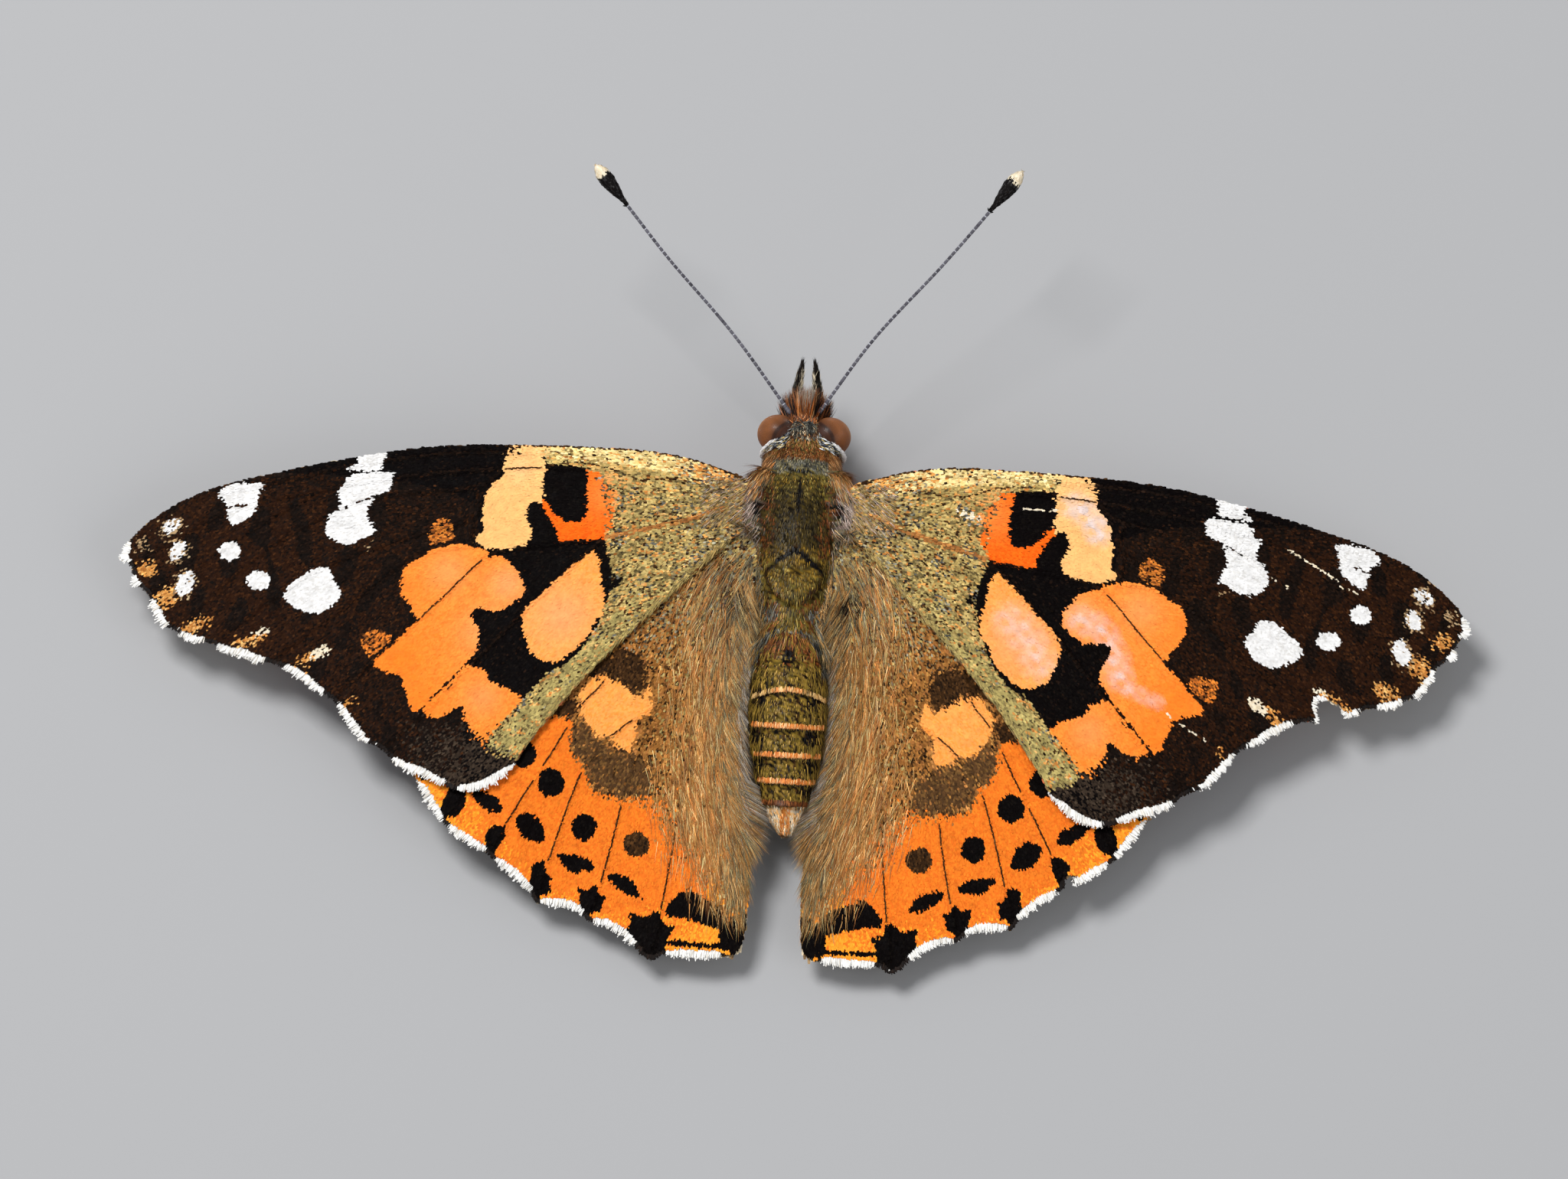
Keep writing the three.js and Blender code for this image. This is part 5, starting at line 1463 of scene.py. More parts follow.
def body_rings():
    first, last = SECTIONS[0][0] + 0.03, SECTIONS[-1][0] - 0.05
    y = np.linspace(first, last, int((last - first) / BODY_STEP))
    shift, half, top, bottom = section_at(y)
    sink = np.minimum(coat_depth(y), half * 0.5)
    turn = np.linspace(0, 2 * math.pi, BODY_SIDES, endpoint=False)
    rise = ((top - bottom) / 2 - sink)[:, None] * np.sin(turn)
    width = (half - sink)[:, None] * np.cos(turn)
    reach = np.hypot(width, rise)
    way_x, way_z = width / reach, rise / reach
    middle = ((top + bottom) / 2)[:, None]
    ys = np.broadcast_to(y[:, None], reach.shape)
    reach = reach - segment_inset(on_back(ys, middle + rise))
    for bump, side in ((FLAPS, 1), (FLAPS, -1), (SHIELD, 1)):
        reach = np.maximum(reach, reach_of(bump, side, ys, middle, way_x, way_z))
    return np.stack([shift[:, None] + way_x * reach, ys, middle + way_z * reach], -1)


body_points, body_faces = shell_over(body_rings())
print("body skin:", len(body_points), "points,", len(body_faces), "triangles")

# %% [markdown]
# ### Where hairs stand
# Hairs are strewn over the skin by area. At each root the skin's own normal is up, and the lie is a
# wish, such as backwards, laid flat into the skin and then lifted by a few degrees.

# %% Strewing roots over a skin
MAP_START, MAP_LENGTH = -16.4, 22  # the part of the body that the bake map covers


def normals_of(points, faces):
    a, b, c = (points[faces[:, k]] for k in range(3))
    flat = np.cross(b - a, c - a)
    out = np.zeros_like(points)
    for k in range(3):
        np.add.at(out, faces[:, k], flat)
    return unit(out)


def strew(points, faces, count, rng, wanted=None):
    """Roots spread evenly over a skin, or by a share that wanted() gives, and the normals there."""
    a, b, c = (points[faces[:, k]] for k in range(3))
    area = np.linalg.norm(np.cross(b - a, c - a), axis=1)
    if wanted is not None:
        area = area * wanted((a + b + c) / 3)
    chosen = faces[rng.choice(len(faces), count, p=area / area.sum())]
    u, v = rng.random((2, count, 1))
    flip = (u + v) > 1
    u, v = np.where(flip, 1 - u, u), np.where(flip, 1 - v, v)
    normal = normals_of(points, faces)
    mix = [1 - u - v, u, v]
    return (sum(m * points[chosen[:, k]] for k, m in enumerate(mix)),
            unit(sum(m * normal[chosen[:, k]] for k, m in enumerate(mix))))


def lying(wish, up, lift, rng, stray=0.15):
    """The wish laid into the skin, with some stray, and lifted off it."""
    wish = unit(np.broadcast_to(wish, up.shape) + rng.normal(0, stray, up.shape))
    return unit(laid_flat(wish, up) + up * (lift + rng.normal(0, 0.08, (len(up), 1))))


def body_map(roots):
    """The body unrolled: round it from left to right, and along it from bottom to top."""
    _, _, top, bottom = section_at(roots[:, 1])
    turn = np.arctan2(roots[:, 2] - (top + bottom) / 2, roots[:, 0])
    return columns(0.02 + 0.95 * (((turn + math.pi / 2) / (2 * math.pi)) % 1.0),
                   0.02 + 0.95 * (roots[:, 1] - MAP_START) / MAP_LENGTH)


# %% [markdown]
# ### The body's colours
# Olive hair on the back with a black line down its middle, and rusty bands beside it. The collar is a
# roll of brown hair that runs down over the shoulders, with a thin grey band behind it. The shield is
# edged by a dark V. The abdomen is rusty at its front, then streaked ochre, olive and black, blackest
# behind each ring line, and it is paler below.

# %% Painting the body
SHIELD_EDGE = [(0, -3.12), (0.7, -3.62), (1.33, -4.12), (1.25, -4.6), (1.0, -5.0), (0.6, -5.25)]
BACK_HALF = ([-8.4, -7.4, -6.4, -5.2, -3.5, -1.0, 0.2, 0.9, 1.7],
             [1.95, 1.5, 1.1, 1.45, 1.75, 1.85, 1.75, 1.4, 1.2])


def beside_back(x, y):
    """0 on the olive back, 1 on the hairier sides, where BACK_HALF gives the back's half width."""
    return ramp(np.abs(x) - np.interp(y, *BACK_HALF), -0.12, 0.12)


def paint_body(places, rng):
    x, y, z = places.T
    x, y = x + rng.normal(0, 0.02, x.shape), y + rng.normal(0, 0.05, y.shape)
    wide = np.abs(x)
    _, _, top, bottom = section_at(y)
    above = z > (top + bottom) / 2
    streak, aside = strands(x, y, 31), beside_back(x, y)
    colour = pick("moss", len(x), rng)
    # The thorax: its back, the bands beside it and the sides.
    reddish = ramp(wide, 0.9, 1.35) * ramp(y, 0.4, -1.0) * ramp(y, -4, -3)
    lay(colour, rng,
        ("gilt", streak > 0.5, 0.6 * ramp(y, -0.8, 0.4)),
        ("loden", True, ramp(y, 0.5, -0.8) * ramp(y, -4.4, -3.2)),
        ("bay", streak > 0.45, 0.85 * reddish),
        ("gilt", y < -3, 0.4),
        ("sage", y > -4.8, 0.75 * aside),
        ("smoke", streak > 0.6, 0.8 * aside),
        ("tawny", True, 0.7 * aside * ramp(y, -0.6, 0.6)),
        ("russet", streak > 0.45, 0.9 * aside * ramp(y, -0.2, 0.8)),
        ("blush", y > -3.6, 0.5 * ramp(wide, 2.0, 2.4) * ramp(y, 0.8, 0.0)))
    # The grey band behind the collar, the line down the back and the shoulder flaps.
    collar = (y > 0.85) & (y < 1.7) & (wide < 1.6)
    lay(colour, rng,
        ("sage", collar, 0.85),
        ("smoke", collar & (streak > 0.48), 0.9),
        ("ink", (y > 0.85) & (y < 1.1) & (wide < 0.6), 0.6),
        ("ink", (wide < 0.07) & (y > -1.5) & (y < 0.5), 0.95),
        ("umber", (wide < 0.1) & (y > -3) & (y <= -1.5), 0.5),
        ("bay", in_spot(wide, y, (1.85, -0.5), (0.13, 0.42), 8) & above, 1),
        ("ink", in_spot(wide, y, (2.0, -1.12), (0.2, 0.42), 12) & above, 1))
    # The shield and what lies behind it.
    shield = within(wide, y, np.array(SHIELD_EDGE + [(-0.2, -5.2), (-0.2, -3.1)]))
    lay(colour, rng,
        ("gilt", shield, 0.3),
        ("ink", near_line(wide, y, SHIELD_EDGE[:3], 0.12) & above, 0.95),
        ("umber", near_line(wide, y, SHIELD_EDGE[2:], 0.08) & above, 0.6),
        ("bay", (y < -5.2) & ~shield, 0.5 * ramp(wide, 0.3, 1.0)),
        ("smoke", in_spot(wide, y, (1.05, -6.1), (0.45, 0.3)) & above & (streak > 0.35), 0.8))
    # The collar and the head.
    head = y >= 2.75
    lay(colour, rng,
        ("russet", y > 1.7, 1),
        ("bay", (y > 1.7) & (y < 2.4), 0.65),
        ("moss", streak > 0.52, 0.8 * ramp(y, 1.7, 2.4)),
        ("bay", head, 0.7),
        ("smoke", head & (streak > 0.5), 0.9),
        ("buff", head & (streak < 0.36), 0.7),
        ("smoke", in_spot(wide, y, (0.3, 3.5), (0.28, 0.42)), 0.85),
        ("flecks", (y > 2.6) & (y < 3.75), 0.95 * ramp(wide, 0.6, 0.85)),
        ("fox", y > 3.8, 0.92))
    # The abdomen.
    rump, ring = y < -6.9, on_back(y, z)
    dome = in_spot(x, y, (0, -9.0), (1.6, 2.0))
    lay(colour, rng,
        ("fleck", rump, 1),
        ("ink", rump & (strands(x, y, 35, 0.16, 1.2) > 0.54), 0.5),
        ("umber", rump & (streak < 0.34), 0.5),
        ("fox", dome & (streak < 0.6), 0.6 * ramp(y, -8.8, -7.8)),
        ("bay", dome, 0.35 * ramp(y, -8.8, -7.6)),
        ("smoke", rump & ~dome & (y > -9), 0.7),
        ("ink", in_spot(x, y, (0, -8.3), (0.3, 0.45)), 0.8))
    for front in SEGMENT_ENDS[1:5]:
        lay(colour, rng,
            ("ink", rump & (ring < front), 0.4 * ramp(ring, front - 0.6, front)),
            ("ink", in_spot(wide, ring, (1.3, front - 0.45), (0.36, 0.32)), 0.75))
    tip = ring < -15.1
    lay(colour, rng,
        ("bone", tip, 0.9),
        ("cream", tip, 0.45),
        ("ring", tip & (np.abs(x - 0.25) < 0.25), 0.8),
        ("buff", z < (top + bottom) / 2 - 0.2, np.where(rump | head, 0.95, 0.8)))
    return locks(colour, x, y, 17)


def make_body_skin():
    rng = np.random.default_rng(31)
    data = new_mesh("body_skin", body_points, body_faces, MATERIALS["skin"],
                    paint_body(body_points, rng) * 0.6)
    give_map(data, body_map(body_points), closed=True)
    keep("body_skin", data, ["head", "thorax", "abdomen"])


make_body_skin()

# %% [markdown]
# ### Hair and scales of the body
# The thorax wears dense short hair that lies back, the head a more upright pile with tufts at the eyes
# and on the face, and the abdomen narrow scales. Each kind has its own call with its own length, lift
# and count. A hair takes the colour that belongs to its middle, so that thin lines stay in place.

# %% Growing the body's coat
def wish_of(roots):
    """Which way hair wants to lie: back along the body, outwards at the sides, forward on the brow."""
    x, y, _ = roots.T
    brow = ramp(y, 3.3, 4.0)
    return columns(np.clip(x / 2.4, -1, 1) * 0.35, -1 + 2 * brow, 0.4 * brow)


def body_hair(name, seed, count, wanted, width, length, lift, droop, slot="thorax_hair", kind="blade",
              wish=wish_of, stray=0.15, paint=paint_body):
    """One kind of hair over a part of the body. paint is a painter or the name of a palette."""
    rng = np.random.default_rng(seed)
    roots, up = strew(body_points, body_faces, count, rng, wanted)
    size = columns(rng.uniform(*width, count), rng.uniform(*length, count), width[1])
    lie = lying(wish(roots), up, lift, rng, stray)
    if callable(paint):
        colour = paint(roots + lie * size[:, 1:2] * 0.6, rng)
    else:
        colour = locks(pick(paint, count, rng), roots[:, 0], roots[:, 1], seed)
    grow(name, kind, MATERIALS["hair"], slot, roots - up * 0.02, lie, up, size, -up * droop * size[:, 1:2],
         colour, body_map(roots))


def band(low, high, beyond=0.0, above=0.0, blur=0.25):
    """A share that is 1 between two places along the body, and 0 nearer the middle or lower down."""
    return lambda c: (ramp(c[:, 1], low - blur / 2, low + blur / 2) * ramp(c[:, 1], high + blur / 2,
                      high - blur / 2) * (np.abs(c[:, 0]) >= beyond) * (c[:, 2] > above))


def outwards(along, rise=0.0, spread=1.0):
    """A wish for hair to point away from the middle, with so much along the body and so much up."""
    return lambda r: columns(np.clip(r[:, 0] / 0.8, -1, 1) * spread, along, rise)


def paint_flank(places, rng):
    """Straw and grey hair with dark strands, as on the wing roots beside it."""
    x, y, _ = places.T
    streak = strands(x, y, 23)
    colour = pick("hay", len(x), rng)
    lay(colour, rng,
        ("sage", True, 0.4),
        ("smoke", streak > 0.6, 0.7))
    return locks(colour, x, y, 24)


def paint_face(places, rng):
    """Rusty bristles, black ones at the sides and grey ones between the palps."""
    wide = np.abs(places[:, 0])
    colour = pick("fox", len(places), rng)
    lay(colour, rng,
        ("mist", wide < 0.4, 0.75 * ramp(places[:, 1], 4.5, 5.0)),
        ("soot", wide > 0.5, 0.6))
    return locks(colour, *places[:, :2].T, 25)


def paint_yoke(places, rng):
    """Rusty hair that turns tawny and grey towards the wing roots."""
    x, y, _ = places.T
    colour = pick("russet", len(x), rng)
    lay(colour, rng,
        ("tawny", True, 0.5 * ramp(y, 1.0, 0.0)),
        ("sage", strands(x, y, 27) > 0.55, 0.7 * ramp(y, 0.8, -0.2)))
    return locks(colour, x, y, 28)


FINE = (0.028, 0.045)
body_hair("thorax_pile", 41, 30000, band(-6.9, 1.75), FINE, (0.22, 0.38), 0.16, 0.08, stray=0.08)
body_hair("waist_hair", 50, 2600, band(-7.6, -5.4), FINE, (0.4, 0.7), 0.2, 0.12,
          wish=outwards(-1.6, spread=0.6), stray=0.2)
body_hair("collar_pile", 42, 7000, band(1.75, 2.75), FINE, (0.25, 0.4), 0.4, 0.12, stray=0.25)
body_hair("collar_sides", 48, 2400, band(1.6, 2.75, beyond=1.2), FINE, (0.4, 0.75), 0.3, 0.15,
          wish=outwards(-1.6), stray=0.15, paint="russet")
body_hair("head_pile", 43, 4200, band(2.75, 4.6), FINE, (0.25, 0.42), 0.6, 0.1, "head_hair", stray=0.25)
body_hair("brow_tufts", 46, 2600, band(2.55, 3.5, beyond=0.7, above=4.4), (0.05, 0.08), (0.35, 0.6), 0.6,
          0.2, "head_hair", wish=outwards(-0.1, rise=0.5), stray=0.25, paint="flecks")
body_hair("face_tufts", 47, 2600, band(4.0, 5.0, above=3.4), FINE, (0.4, 1.45), 1.4, 0.1, "head_hair",
          kind="hair", wish=outwards(2.0, rise=0.2, spread=0.35), stray=0.32, paint=paint_face)
body_hair("yoke_hair", 49, 5600, lambda c: band(-0.2, 2.3, above=3.4)(c) * beside_back(*c[:, :2].T), FINE,
          (0.5, 1.0), 0.2, 0.14, wish=outwards(-1.9, spread=0.8), stray=0.12, paint=paint_yoke)
body_hair("abdomen_scales", 44, 24000, band(-16.4, -6.6), (0.04, 0.055), (0.22, 0.34), 0.07, 0.03,
          "abdomen_scales", stray=0.04)
body_hair("abdomen_hair", 45, 3000, band(-14.5, -6.6, beyond=0.9), FINE, (0.4, 0.8), 0.22, 0.12,
          "abdomen_scales")

# %% [markdown]
# Each ring of the abdomen ends in a line of orange or cream scales that lie over the next ring. The
# front one bends back at the sides.

# %% Ring lines of the abdomen
# Place on the back, how much it bends back at the sides, palette.
RINGS = [(-9.95, 0.14, "cream_ring"), (-11.65, 0.0, "ring"), (-12.95, 0.0, "ring"), (-14.1, 0.0, "ring"),
         (-15.05, 0.0, "bay")]
RING_SCALES = 620
RING_END = 0.42  # angle round the body, from its widest place, where a ring line ends


def skin_at(y, turn):
    """Places and normals on the body's skin, at these angles round it."""
    shift, half, top, bottom = section_at(y)
    half, rise = half - DEPTH["abdomen"], (top - bottom) / 2 - DEPTH["abdomen"]
    flat = columns(half * np.cos(turn), rise * np.sin(turn))
    slope = unit(columns(rise * np.cos(turn), half * np.sin(turn)))
    return (columns(shift + flat[:, 0], y, (top + bottom) / 2 + flat[:, 1]),
            columns(slope[:, 0], 0, slope[:, 1]))


def make_rings():
    rng = np.random.default_rng(52)
    rows = []
    for end, bow, palette in RINGS:
        turn = rng.uniform(RING_END, math.pi - RING_END, RING_SCALES)
        _, half, top, bottom = section_at(np.full(RING_SCALES, end))
        fall = (top - bottom) / 2 * (1 - np.sin(turn))
        length = rng.uniform(0.1, 0.28, RING_SCALES)
        front = end + LEAN * fall - bow * (half * np.cos(turn)) ** 2
        y = front + 0.8 * length + rng.normal(0, 0.02, RING_SCALES)
        spots, up = skin_at(y, turn)
        kept = rng.random(RING_SCALES) < 0.3 + 0.7 * ramp(clouds(spots[:, 0], y, 0.3, 19), 0.25, 0.5)
        colour = pick(palette, RING_SCALES, rng)
        lay(colour, rng, ("ring", np.abs(spots[:, 0]) < 0.7, 5 * bow))
        rows.append([part[kept] for part in (spots + up * 0.03, up, length, colour)])
    roots, ups, lengths, colours = (np.concatenate(parts) for parts in zip(*rows))
    size = columns(rng.uniform(0.04, 0.06, len(roots)), lengths, 1)
    grow("ring_scales", "blade", MATERIALS["hair"], "abdomen_scales", roots,
         lying((0, -1, 0), ups, 0.16, rng, 0.06), ups, size, -ups * 0.03, colours, body_map(roots))


make_rings()

# %% [markdown]
# Where the wings join, long pale tufts arch out from under the shoulder flaps and over the wing
# roots. They are rooted in the thorax's flank, so they belong to the body.

# %% Shoulder tufts
def flank(side, rear, front):
    """A share of the roots on one side of the body, beyond the olive back."""
    return lambda c: band(rear, front, above=4.2)(c) * beside_back(*c[:, :2].T) * (c[:, 0] * side > 0)


for name, side in SIDES.items():
    body_hair(f"shoulder_tufts_{name}", 60 + side, 700, flank(side, -3.4, 0.5), FINE, (0.5, 1.0), 0.45, 0.25,
              kind="hair", wish=outwards(-1.5), stray=0.25, paint="blush")
    body_hair(f"flank_tufts_{name}", 64 + side, 3400, flank(side, -8.2, -2.0), FINE, (0.6, 1.3), 0.35, 0.2,
              kind="hair", wish=outwards(-0.9, rise=0.2), stray=0.25, paint=paint_flank)

# %% [markdown]
# ### Hair on the wings
# The inner part of each hindwing wears long tan hair that flows back along the abdomen, and along its
# inner margin paler hair reaches over the gap and lies against the body. Shorter hair covers the
# forewing's root and softens the edge where it lies on the hindwing.

# %% Wing hair
# Lines on the right hindwing: how far from the body hair stands densely, and where the wing ends.
HAIR_LIMIT = [(4.3, -4.0), (3.9, -9.5), (4.2, -12.8), (4.7, -15.0), (3.7, -17.2), (2.4, -18.8),
              (1.3, -20.2)]
MARGIN = [(1.9, -4.6), (1.95, -7.5), (2.1, -10.5), (1.95, -12.8), (1.75, -14.8), (1.45, -16.5),
          (1.35, -18.5)]
TAIL_MARGIN = [(1.85, -13.6), (1.75, -14.8), (1.5, -16.3)]
DARK_ROOT = (2.9, -5.2)
FORE_EDGE = [(3.0, -2.6), (5.2, -4.9), (7.6, -7.4), (9.8, -9.85), (11.9, -12.7)]


def paint_hind_hair(x, y, rng):
    """Grey right beside the body, then olive and tan strands, rusty ones further out."""
    inside = x - along_line(MARGIN, y)
    streak = strands(x, y, 26, 0.16, 1.2)
    colour = pick("hay", len(x), rng)
    lay(colour, rng,
        ("tawny", streak > 0.45, 0.85),
        ("sage", streak < 0.42, 0.8 * ramp(inside, 1.8, 0.6)),
        ("root", streak < 0.6, 0.7 * ramp(y, -8.2, -5.8) * ramp(x, 5, 4)),
        ("soot", in_spot(x, y, DARK_ROOT, (0.55, 0.5)), 0.6),
        ("rufous", streak > 0.56, 0.9 * ramp(inside, 0.6, 1.4)),
        ("straw", True, 0.08),
        ("mist", True, 0.8 * ramp(inside, 0.45, 0.2) * ramp(y, -16.2, -14.8) * ramp(y, -6.5, -8)))
    return colour * (0.84 + 0.36 * ramp(inside, 0.5, 2.0))[:, None]


def paint_fore_hair(x, y, rng):
    colour = pick("olive", len(x), rng)
    lay(colour, rng,
        ("reed", True, 0.9 * ramp(x, 4, 9)),
        ("hay", (x < 4.5) & (y > -2.2), 0.5),
        ("blush", (x < 4.5) & (y > -2.2), 0.3))
    return colour


def wing_hair(name, side, kind, seed, spots, way, length, lift, paint):
    """Hair rooted at places on a wing, which lies the way that it should there."""
    wing = WINGS[kind]
    rng = np.random.default_rng(seed + side)
    spots = spots(rng)
    x, y = spots.T
    up = wing.up(x, y, 1)
    run = unit(way(x, y) + rng.normal(0, 0.12, spots.shape))
    lie = laid_flat(columns(*run.T, 0), up) + up * (lift + rng.normal(0, 0.04, (len(x), 1)))
    size = columns(rng.uniform(*FINE, len(x)), rng.uniform(*length, len(x)), FINE[1])
    grow_on_wing(name, "hair", "hair", kind, side, columns(x, y, wing.top(x, y) + 0.02), lie, up, size,
                 up * (-0.9 * lift) * size[:, 1:2], locks(paint(x, y, rng), x, y, seed),
                 on_map_of(kind, spots, 1))


def along_line(points, y):
    """Where a line that runs back over the wing is, at this place along the body."""
    places = np.array(points)[::-1]
    return np.interp(y, places[:, 1], places[:, 0])


def in_hair_zone(rng):
    """Dense beside the body as far as the limit, then ever sparser."""
    x, y = rng.uniform((1.2, -20.3), (8.0, -3.2), (60000, 2)).T
    limit = along_line(HAIR_LIMIT, y)
    share = ramp(x, limit + 2.4, limit - 0.5) ** 2 * (1 - 0.4 * ramp(y, -9.5, -5))
    kept = (rng.random(len(x)) < share) & (x > along_line(MARGIN, y))
    return columns(x, y)[kept][:8000]


def beside_line(points, count, inside):
    """Random places within a strip beside a line."""
    line = evenly(spline(points), 0.05)[0]
    return lambda rng: line[rng.integers(0, len(line), count)] + columns(
        rng.uniform(0.0, inside, count), rng.uniform(-0.1, 0.1, count))


def hind_way(x, y):
    inward = np.interp(-y, [4, 7, 10, 14, 17, 20], [0.5, 0.1, -0.12, -0.26, -0.2, -0.04])
    sway = 0.5 * (clouds(x / 0.7, y / 1.6, 1.0, 14) - 0.5)
    return columns(inward * np.clip(1.3 - 0.1 * x, 0.4, 1.2) + sway, -1)


def margin_way(x, y):
    inward = np.interp(-y, [4, 5.5, 8, 10.5, 14, 15.5, 18], [-0.2, -0.5, -0.45, -0.5, -0.65, -0.6, -0.15])
    sway = 0.4 * (clouds(x / 0.7, y / 1.2, 1.0, 15) - 0.5)
    return columns(inward + sway, -1)


def under_tail(side):
    """Longer hair reaches for the end of the abdomen, which lies nearer to the right wing."""
    inward = -1.9 if side < 0 else -1.3
    return lambda x, y: columns(inward * ramp(y, -16.6, -15), -1)


def along_edge(x, y):
    return np.array((0.6, -1.0))


def from_root(x, y):
    return columns(1, 0.3 * y - 0.55)


def at_fore_root(rng):
    return rng.uniform((2.5, -2.0), (4.4, 0.3), (700, 2))


for name, side in SIDES.items():
    # Seed, places, way, length, lift and painter of each kind of hair.
    for hair, choices in {
        "inner": (201, in_hair_zone, hind_way, (0.6, 1.4), 0.06, paint_hind_hair),
        "margin": (211, beside_line(MARGIN, 4600, 0.9), margin_way, (0.7, 1.5), 0.1, paint_hind_hair),
        "tail": (241, beside_line(TAIL_MARGIN, 1600, 0.5), under_tail(side), (1.0, 1.9), 0.04,
                 paint_hind_hair),
        "edge": (221, beside_line(FORE_EDGE, 900, 0.35), along_edge, (0.2, 0.4), 0.02, paint_fore_hair),
        "root": (231, at_fore_root, from_root, (0.25, 0.55), 0.12, paint_fore_hair),
    }.items():
        kind = "forewing" if hair in ("edge", "root") else "hindwing"
        wing_hair(f"{kind}_{name}_{hair}_hair", side, kind, *choices)

# %% [markdown]
# ## Eyes
# Each compound eye is a bulging cap of many hundred six-sided lenses. A subdivided ball whose dual
# mesh is taken has just such six-sided faces, so a small node tree makes it: ball, dual, and each
# face raised with a narrower top. The dark bands of the living eye are painted on its points.

# %% A faceted eye
EYE = {"y": 3.42, "z": 4.2, "inner": 1.22, "outer": 2.2, "length": 0.9, "height": 1.02}
LENS_RISE = 0.012
LENS_WIDTH = 0.72


def lens_tree():
    tree, given = new_tree("faceted_ball", [
        ("Rise", "NodeSocketFloat", LENS_RISE), ("Lens Width", "NodeSocketFloat", LENS_WIDTH),
        ("Finish", "NodeSocketMaterial", None)])
    ball = add(tree, "GeometryNodeMeshIcoSphere", {"Radius": 1.0, "Subdivisions": 5})
    dual = add(tree, "GeometryNodeDualMesh", {"Mesh": ball.outputs["Mesh"]})
    raised = add(tree, "GeometryNodeExtrudeMesh", {
        "Mesh": dual.outputs[0], "Offset Scale": given.outputs["Rise"], "Individual": True}, mode="FACES")
    domed = add(tree, "GeometryNodeScaleElements", {
        "Geometry": raised.outputs["Mesh"], "Selection": raised.outputs["Top"],
        "Scale": given.outputs["Lens Width"]}, domain="FACE")
    real = add(tree, "GeometryNodeRealizeInstances", {0: domed.outputs[0]})
    end_tree(tree, real.outputs[0], given.outputs["Finish"])
    return tree


def faceted_ball(material):
    holder = bpy.data.objects.new("eye_ball", bpy.data.meshes.new("eye_ball"))
    bpy.context.collection.objects.link(holder)
    return plain(holder, lens_tree(), material)


def paint_eye(p, rng):
    """p is a place on the unit ball: x out of the head, y forward, z up."""
    outer = 0.75 * p[:, 0] + 0.5 * p[:, 1] - 0.25 * np.abs(p[:, 2])
    bands = np.sin(13 * outer + 0.5 * np.sin(5 * p[:, 1]))
    colour = tint(tone(62, 32, 18), (130, 78, 40), ramp(outer, -0.5, 0.1))
    colour = tint(colour, (186, 128, 74), ramp(outer, 0.5, 1.0))
    colour = tint(colour, (34, 17, 12), 0.75 * ramp(bands, 0.2, 0.75) * ramp(outer, 0.05, -0.12))
    return colour * np.exp(rng.normal(0, 0.08, (len(p), 1)))


def make_eye(name, side):
    data = faceted_ball(MATERIALS["eye"])
    p = np.empty(len(data.vertices) * 3, np.float32)
    data.vertices.foreach_get("co", p)
    p = p.reshape(-1, 3).astype(float)
    give_colour(data, paint_eye(p, np.random.default_rng(70)))
    deep = EYE["outer"] - EYE["inner"]
    centre = np.array([EYE["inner"], EYE["y"], EYE["z"]])
    points = (p * (deep, EYE["length"], EYE["height"]) + centre) * (side, 1, 1)
    data.vertices.foreach_set("co", placed(points).astype(np.float32).ravel())
    if side < 0:
        data.flip_normals()
    data.update()
    data.name = f"eye_{name}_lenses"
    keep(data.name, data, [f"eye_{name}"])
    print(data.name, len(data.polygons), "faces")


for name, side in SIDES.items():
    make_eye(name, side)

# %% [markdown]
# A crescent of white scales borders each eye behind, as bright as a painted line. It is a thin curved
# roll with scales on it, set against the eye's rear.

# %% Tubes and the white crescents
OFF_UPRIGHT = (0.03, 0.02, 1.0)  # nearly upright, and not along any tube


def tube(line, radii, sides=12):
    """A closed round skin along a line."""
    run = unit(np.gradient(line, axis=0))
    across = np.cross(run[0], OFF_UPRIGHT)
    turn = np.linspace(0, 2 * math.pi, sides, endpoint=False)[:, None]
    rings = []
    for centre, way, radius in zip(line, run, np.broadcast_to(radii, len(line))):
        across = across - way * np.dot(across, way)
        across /= np.linalg.norm(across)
        rings.append(centre + radius * (np.cos(turn) * across + np.sin(turn) * np.cross(across, way)))
    return shell_over(np.array(rings))


def rounded(count, start, end):
    """A share of full radius along a tube whose two ends are round."""
    t = np.linspace(0, 1, count)
    front, back = (np.sqrt(1 - (1 - np.minimum(1, s)) ** 2) for s in (t / start, (1 - t) / end))
    return np.maximum(front * back, 0.05)


CRESCENT = [(1.2, 2.93, 5.03), (1.5, 2.76, 4.82), (1.72, 2.64, 4.5), (1.86, 2.55, 4.15), (1.88, 2.5, 3.8),
            (1.8, 2.48, 3.5)]
CRESCENT_HALF = ([0, 0.4, 0.75, 1], [0.02, 0.08, 0.125, 0.05])  # place along it, half its width


def round_it(up):
    """How far round a tube its surface faces this way, from 0 to 1."""
    return (np.arctan2(up[:, 2], up[:, 0]) / (2 * math.pi)) % 1


def tube_map(on_line, turn=0.5):
    return 0.02 + 0.96 * columns(on_line, turn)


def nearest_on(line, points):
    return ((points[:, None] - line[None]) ** 2).sum(2).argmin(1)


